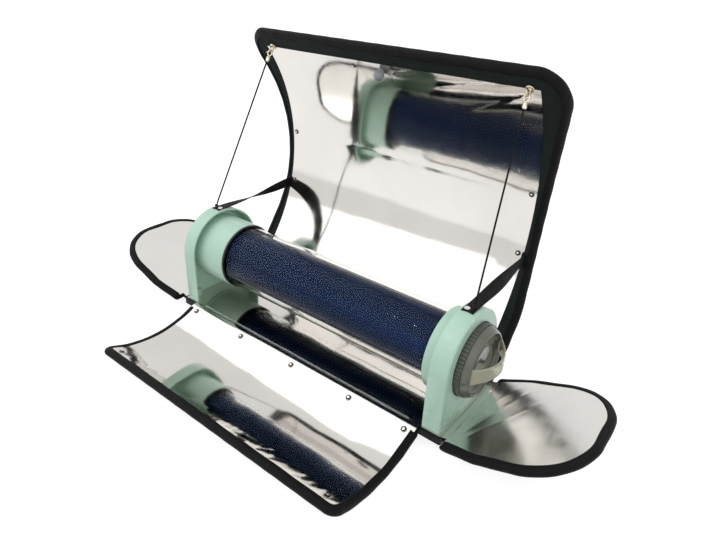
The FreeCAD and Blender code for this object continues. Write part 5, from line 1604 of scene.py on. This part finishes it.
@dataclass
class SmallParts:
    """The closing knob and the strap rivets."""
    panel: BackPanel
    paint: Paint
    knob_height: float = 490 * MM
    knob_place: float = -9 * MM
    knob_radius: float = 9 * MM
    rivet_place: float = 275 * MM
    rivet_seat: float = 209.5 * MM

    def knob(self) -> None:
        """A ball on a short neck: heights 1.1 r + r sin a and radii r cos a, over a flared foot."""
        along = self.panel.along_at(np.array([self.knob_height]))[0]
        foot = self.panel.place(np.array(along), np.array(self.knob_place), np.array(0.7 * MM)).reshape(3)
        normal = self.panel.place(np.array(along), np.array(self.knob_place), np.array(1.7 * MM)).reshape(3) - foot
        normal /= np.linalg.norm(normal)
        angle = np.linspace(math.radians(-66), math.radians(88), 18)
        ball = np.stack([1.1 + np.sin(angle), np.cos(angle)], axis=-1) * self.knob_radius
        neck = np.array([[0, 5.0], [0.5, 5.2], [0.9, 4.6], [1.3, 3.7]]) * MM
        piece = joined("ball_closing_knob", [lathe(np.concatenate([neck, ball]), foot, normal, 32)])
        self.paint.coat(piece, Slot.knob_grey)
        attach(piece, "back_reflector")
        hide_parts("closing_knob")

    def rivet(self, prefix: str, side: int) -> None:
        """A tubular rivet: a rolled head with a sunk eye, on a shank through the strap and the stand's wall."""
        profile = np.array([[-4.2, 1.75], [-0.1, 1.8], [0, 4.2], [0.5, 4.6], [1.1, 4.3], [1.6, 3.2], [1.7, 2.2],
                            [1.4, 1.5], [0.7, 1.2]]) * MM
        place = np.array([side * self.rivet_place, 0, self.rivet_seat])
        piece = joined(f"{prefix}_tubular_rivet", [lathe(profile, place, np.array([0, 0, 1.0]), 28)])
        self.paint.coat(piece, Slot.rivet_white)
        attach(piece, "base")
        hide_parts(f"{prefix}_strap_rivet")

    def build(self) -> None:
        """Make the knob and both rivets."""
        self.knob()
        for prefix, side in (("left", -1), ("right", 1)):
            self.rivet(prefix, side)
        LOG.info("knob and rivets")


@dataclass
class Lid:
    """Lid cap with its thin rim and sunk middle, and the strap-like handle across it."""
    paint: Paint
    start: float = 306 * MM
    axis_height: float = 128 * MM
    crown: float = 318.5 * MM
    handle_turn: float = math.radians(85)
    handle_rise: float = 7 * MM
    foot_radius: float = 46.5 * MM
    reach: float = 24 * MM
    gauge: float = 3.4 * MM
    width: float = 25 * MM

    def cap(self) -> None:
        """A turned cap: sloping side, a narrow rolled rim, and a dish with a raised ring on its floor."""
        profile = np.array([[0, 57.9], [0.4, 58.5], [2.4, 58.5], [3.0, 58.0], [6.0, 56.4], [9.0, 54.6], [11.4, 52.9],
                            [12.2, 52.0], [12.5, 51.0], [12.3, 50.0], [11.6, 49.4], [9.0, 48.6], [6.6, 47.6], [5.9, 46.6],
                            [5.6, 45.0], [5.5, 34.0], [5.8, 31.5], [6.7, 30.6], [7.2, 29.6], [6.8, 28.4], [5.7, 27.4],
                            [5.0, 25.0], [4.7, 14.0], [4.6, 2.0]]) * MM
        place = np.array([self.start, 0, self.axis_height])
        piece = joined("dished_lid_cap", [lathe(profile, place, np.array([1.0, 0, 0]), 128)])
        self.paint.coat(piece, Slot.smoky_plastic)
        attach(piece, "food_tray_body")
        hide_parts("lid_cap")

    def handle(self) -> None:
        """A flat strap from rim to rim. With s from -1 to 1 it stands off the crown by reach * (1 - |s|^2.1).

        Its section is a rounded rectangle, a little wider at the feet.
        """
        share = np.linspace(-1, 1, 72)
        out = np.array([0, math.sin(self.handle_turn), math.cos(self.handle_turn)])
        sideways = np.array([0, math.cos(self.handle_turn), -math.sin(self.handle_turn)])
        rise = self.reach * (1 - np.abs(share) ** 2.1) - self.gauge * 0.6
        middle = np.array([self.crown, 0, self.axis_height + self.handle_rise])
        line = middle + out * (share * self.foot_radius)[:, None] + np.array([1.0, 0, 0]) * rise[:, None]
        tangent = np.gradient(line, axis=0)
        tangent /= np.linalg.norm(tangent, axis=1, keepdims=True)
        lift = np.cross(tangent, sideways)
        lift *= np.sign(lift[len(lift) // 2, 0])
        flare = self.width / 2 * (1 + 0.15 * smooth_step((np.abs(share) - 0.72) / 0.28))
        angle = np.linspace(0, 2 * math.pi, 28, endpoint=False)
        power = 0.28
        across = np.sign(np.cos(angle)) * np.abs(np.cos(angle)) ** power
        height = np.sign(np.sin(angle)) * np.abs(np.sin(angle)) ** (power * 1.6)
        points = (line[:, None] + sideways * (flare[:, None] * across)[..., None]
                  + lift[:, None] * (self.gauge / 2 * height)[None, :, None])
        uv = np.stack(np.broadcast_arrays(run_lengths(line)[:, None], across[None] * self.width / 2), axis=-1)
        piece = solid_piece("strap_lid_handle", *closed_rows(points, uv))
        self.paint.coat(piece, Slot.smoky_plastic, TintedClear("handle_plastic", (0.66, 0.65, 0.50, 1), 0.62, 0.04))
        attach(piece, "food_tray_body")
        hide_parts("lid_handle")

    def build(self) -> None:
        """Make the cap and the handle."""
        self.cap()
        self.handle()
        LOG.info("lid: cap and handle")


@dataclass
class Mouldings:
    """Moulded and cut parts copied from the frame with their edges rounded."""
    paint: Paint
    widths: dict = field(default_factory=lambda: {
        "left_stand": 1.3, "right_stand": 1.3, "left_collar": 0.6, "right_collar": 0.6,
        "left_flap_stay": 0.5, "right_flap_stay": 0.5, "base_front_strip": 0.2, "food_tray": 0.3})

    def build(self, frame: dict) -> None:
        """Merge each copy's loose triangles into flat faces, round its edges, and put it in the node's place."""
        entries = {entry["node"]: entry for entry in frame["record"]["subparts"]}
        for name, width in self.widths.items():
            work = bmesh.new()
            work.from_mesh(frame["nodes"][name].data)
            bmesh.ops.remove_doubles(work, verts=work.verts, dist=0.005 * MM)
            bmesh.ops.dissolve_limit(work, angle_limit=math.radians(0.4), verts=work.verts, edges=work.edges)
            bmesh.ops.recalc_face_normals(work, faces=work.faces)
            mesh = bpy.data.meshes.new(f"{name}_rounded")
            work.to_mesh(mesh)
            work.free()
            mesh.polygons.foreach_set("use_smooth", np.ones(len(mesh.polygons), bool))
            piece = bpy.data.objects.new(f"{name}_rounded", mesh)
            bpy.context.scene.collection.objects.link(piece)
            edge = piece.modifiers.new("edges", "BEVEL")
            edge.width = width * MM
            edge.segments = 3
            edge.limit_method = "ANGLE"
            edge.angle_limit = math.radians(28)
            edge.harden_normals = True
            self.paint.coat(piece, Slot[entries[name]["material_slot"]])
            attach(piece, self.body_of(frame, name))
            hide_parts(name)
        LOG.info("mouldings: %d rounded", len(self.widths))

    @staticmethod
    def body_of(frame: dict, name: str) -> str:
        """The body that holds a node."""
        for body, nodes in frame["record"]["behaviour"]["bodies"].items():
            if name in nodes:
                return body
        raise KeyError(name)


@dataclass
class HardParts:
    """CAD nodes whose shape is right, each with its slot's finish."""
    paint: Paint

    def build(self, frame: dict) -> None:
        """Dress every CAD node that is shown."""
        slots = {entry["node"]: entry["material_slot"] for entry in frame["record"]["subparts"]}
        for name, item in frame["nodes"].items():
            self.paint.recoat(item, Slot[slots[name]])
        LOG.info("frame: %d nodes dressed", len(frame["nodes"]))


def snap_places(panel: Panel, places: list) -> tuple:
    """Stud places as (along, across), from across and the height or line on the panel."""
    return tuple((float(panel.along_at(np.array([place]))[0]), across) for across, place in places)


def main() -> None:
    """Build the cooker's pieces in order."""
    logging.basicConfig(level=logging.INFO, format="%(message)s")
    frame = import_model()
    Studio().build()
    paint = Paint()
    for prefix, side in (("left", -1), ("right", 1)):
        TensionCord(prefix, side, paint).build()
    HardParts(paint).build(frame)
    Mouldings(paint).build(frame)
    Lid(paint).build()

    back, front = BackPanel(), FrontPanel()
    SmallParts(back, paint).build()
    for prefix, side in (("left", -1), ("right", 1)):
        CordFittings(prefix, side, back, paint).build()
    satin = MirrorFilm("satin_film", (0.72, 0.71, 0.68, 1), (0.68, 0.67, 0.64, 1), 0.16, 0.28, 0.0004)
    left = FlapPanel(name="left_flap", body="left_flap", side=-1)
    right = FlapPanel()
    base = BasePad()

    crease = float(back.along_at(np.array([0.330]))[0])
    back_folds = (Fold((crease, -0.26), (crease - 0.006, 0.25), 0.4 * MM, 12 * MM),
                  Fold((crease + 0.15, 0.05), (crease + 0.20, 0.26), 0.5 * MM, 8 * MM),
                  Fold((crease + 0.17, 0.0), (crease + 0.22, 0.2), 0.45 * MM, 7 * MM),
                  Fold((crease + 0.12, 0.14), (crease + 0.18, 0.27), 0.4 * MM, 7 * MM))
    PanelSet(back, paint, Crinkle(3, 0.12 * MM, 130 * MM, folds=back_folds),
             ("back_casing", "back_binding", "back_mirror"), film_half=272.7 * MM,
             film_far=float(back.along_at(np.array([0.503]))[0]), facing=True).build()
    PanelSet(front, paint, Crinkle(8, 0.08 * MM, 110 * MM, 3.2 * MM, 0.4 * MM, (0.178, -0.02), 17 * MM),
             ("front_casing", "front_binding", "front_mirror")).build()
    for panel in (left, right):
        fan = tuple(Fold((0.006 + 0.006 * i, side_start * panel.side), (reach, side_end * panel.side), 0.55 * MM, 2.6 * MM)
                    for i, (side_start, reach, side_end) in enumerate(
                        ((-0.05, 0.052, 0.092), (-0.088, 0.078, 0.096), (-0.092, 0.105, 0.06), (-0.03, 0.06, 0.04))))
        PanelSet(panel, paint, Crinkle(11 + panel.side, 0.08 * MM, 110 * MM, 2.6 * MM, folds=fan),
                 (f"{panel.name}_casing", f"{panel.name}_binding", f"{panel.name}_film"),
                 film_finish=satin).build()
    base_top = BasePad(top=base.top + 3.2 * MM)
    casing = paint.coat(base.casing(), Slot.casing_fabric)
    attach(casing, "base")
    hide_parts("base_casing")
    cover = base_top.film(Crinkle(2, 0.08 * MM, 90 * MM, 5 * MM), 1.0, 1.0, 0.3 * MM, 0.75 * MM)
    upright(cover)
    area = surface_area(cover)
    thicken(cover, 0.18 * MM)
    paint.coat(cover, Slot.mirror_film)
    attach(cover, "base")
    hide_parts("base_mirror")

    for prefix, side in (("left", -1), ("right", 1)):
        Strap(prefix, side, paint, back).build()
    SnapStuds("back_snaps", back, snap_places(back, [
        (-0.264, 0.326), (0.264, 0.326), (-0.263, 0.221), (0.263, 0.221), (-0.0675, 0.493)]), paint).build()
    hinge_snaps = [(x, -0.101) for x in (-0.244, -0.1158, 0.0124, 0.1406, 0.248)]
    SnapStuds("front_snaps", front, snap_places(front, hinge_snaps + [(-0.238, -0.268), (0.238, -0.268)]),
              paint).build()

    BaseTape(base, paint).build()
    axis_x, axis_y = (1, 0, 0), (0, 1, 0)
    HingePiping("front_hinge_piping", "base", (0, -0.090, 0.0292), axis_x, 0.268, 4.3 * MM, paint,
                (0, -0.0845, 0.0292)).build()
    HingePiping("back_hinge_piping", "base", (0, 0.0975, 0.0298), axis_x, 0.2995, 6.4 * MM, paint,
                (0, 0.0897, 0.0298)).build()
    HingePiping("left_hinge_piping", "base", (-0.3072, 0, 0.0292), axis_y, 0.0835, 4.3 * MM, paint,
                (-0.3017, 0, 0.0292)).build()
    HingePiping("right_hinge_piping", "right_flap_hinge", (0.3072, 0, 0.0292), axis_y, 0.0835, 4.9 * MM,
                paint).build()
    HingeWeb("front_hinge_web", front, ("base", "front_reflector"), 0.264, (-0.0836, 0.0343), 0.1 * MM, paint,
             Slot.mirror_film, crest=(-0.0922, 0.0353)).build()
    HingeWeb("back_hinge_web", back, ("base", "back_reflector"), 0.292, (0.0870, 0.0343), 1.0 * MM, paint,
             Slot.mirror_film).build()
    HingeWeb("left_hinge_web", left, ("base", "left_flap"), 0.083, (-0.2995, 0.0343), 1.0 * MM, paint,
             Slot.mirror_film, satin).build()
    HingeWeb("right_hinge_web", right, ("right_flap_hinge", "right_flap"), 0.083, (0.3005, 0.0343), 1.2 * MM, paint,
             Slot.mirror_film, satin).build()


if __name__ == "__main__":
    main()
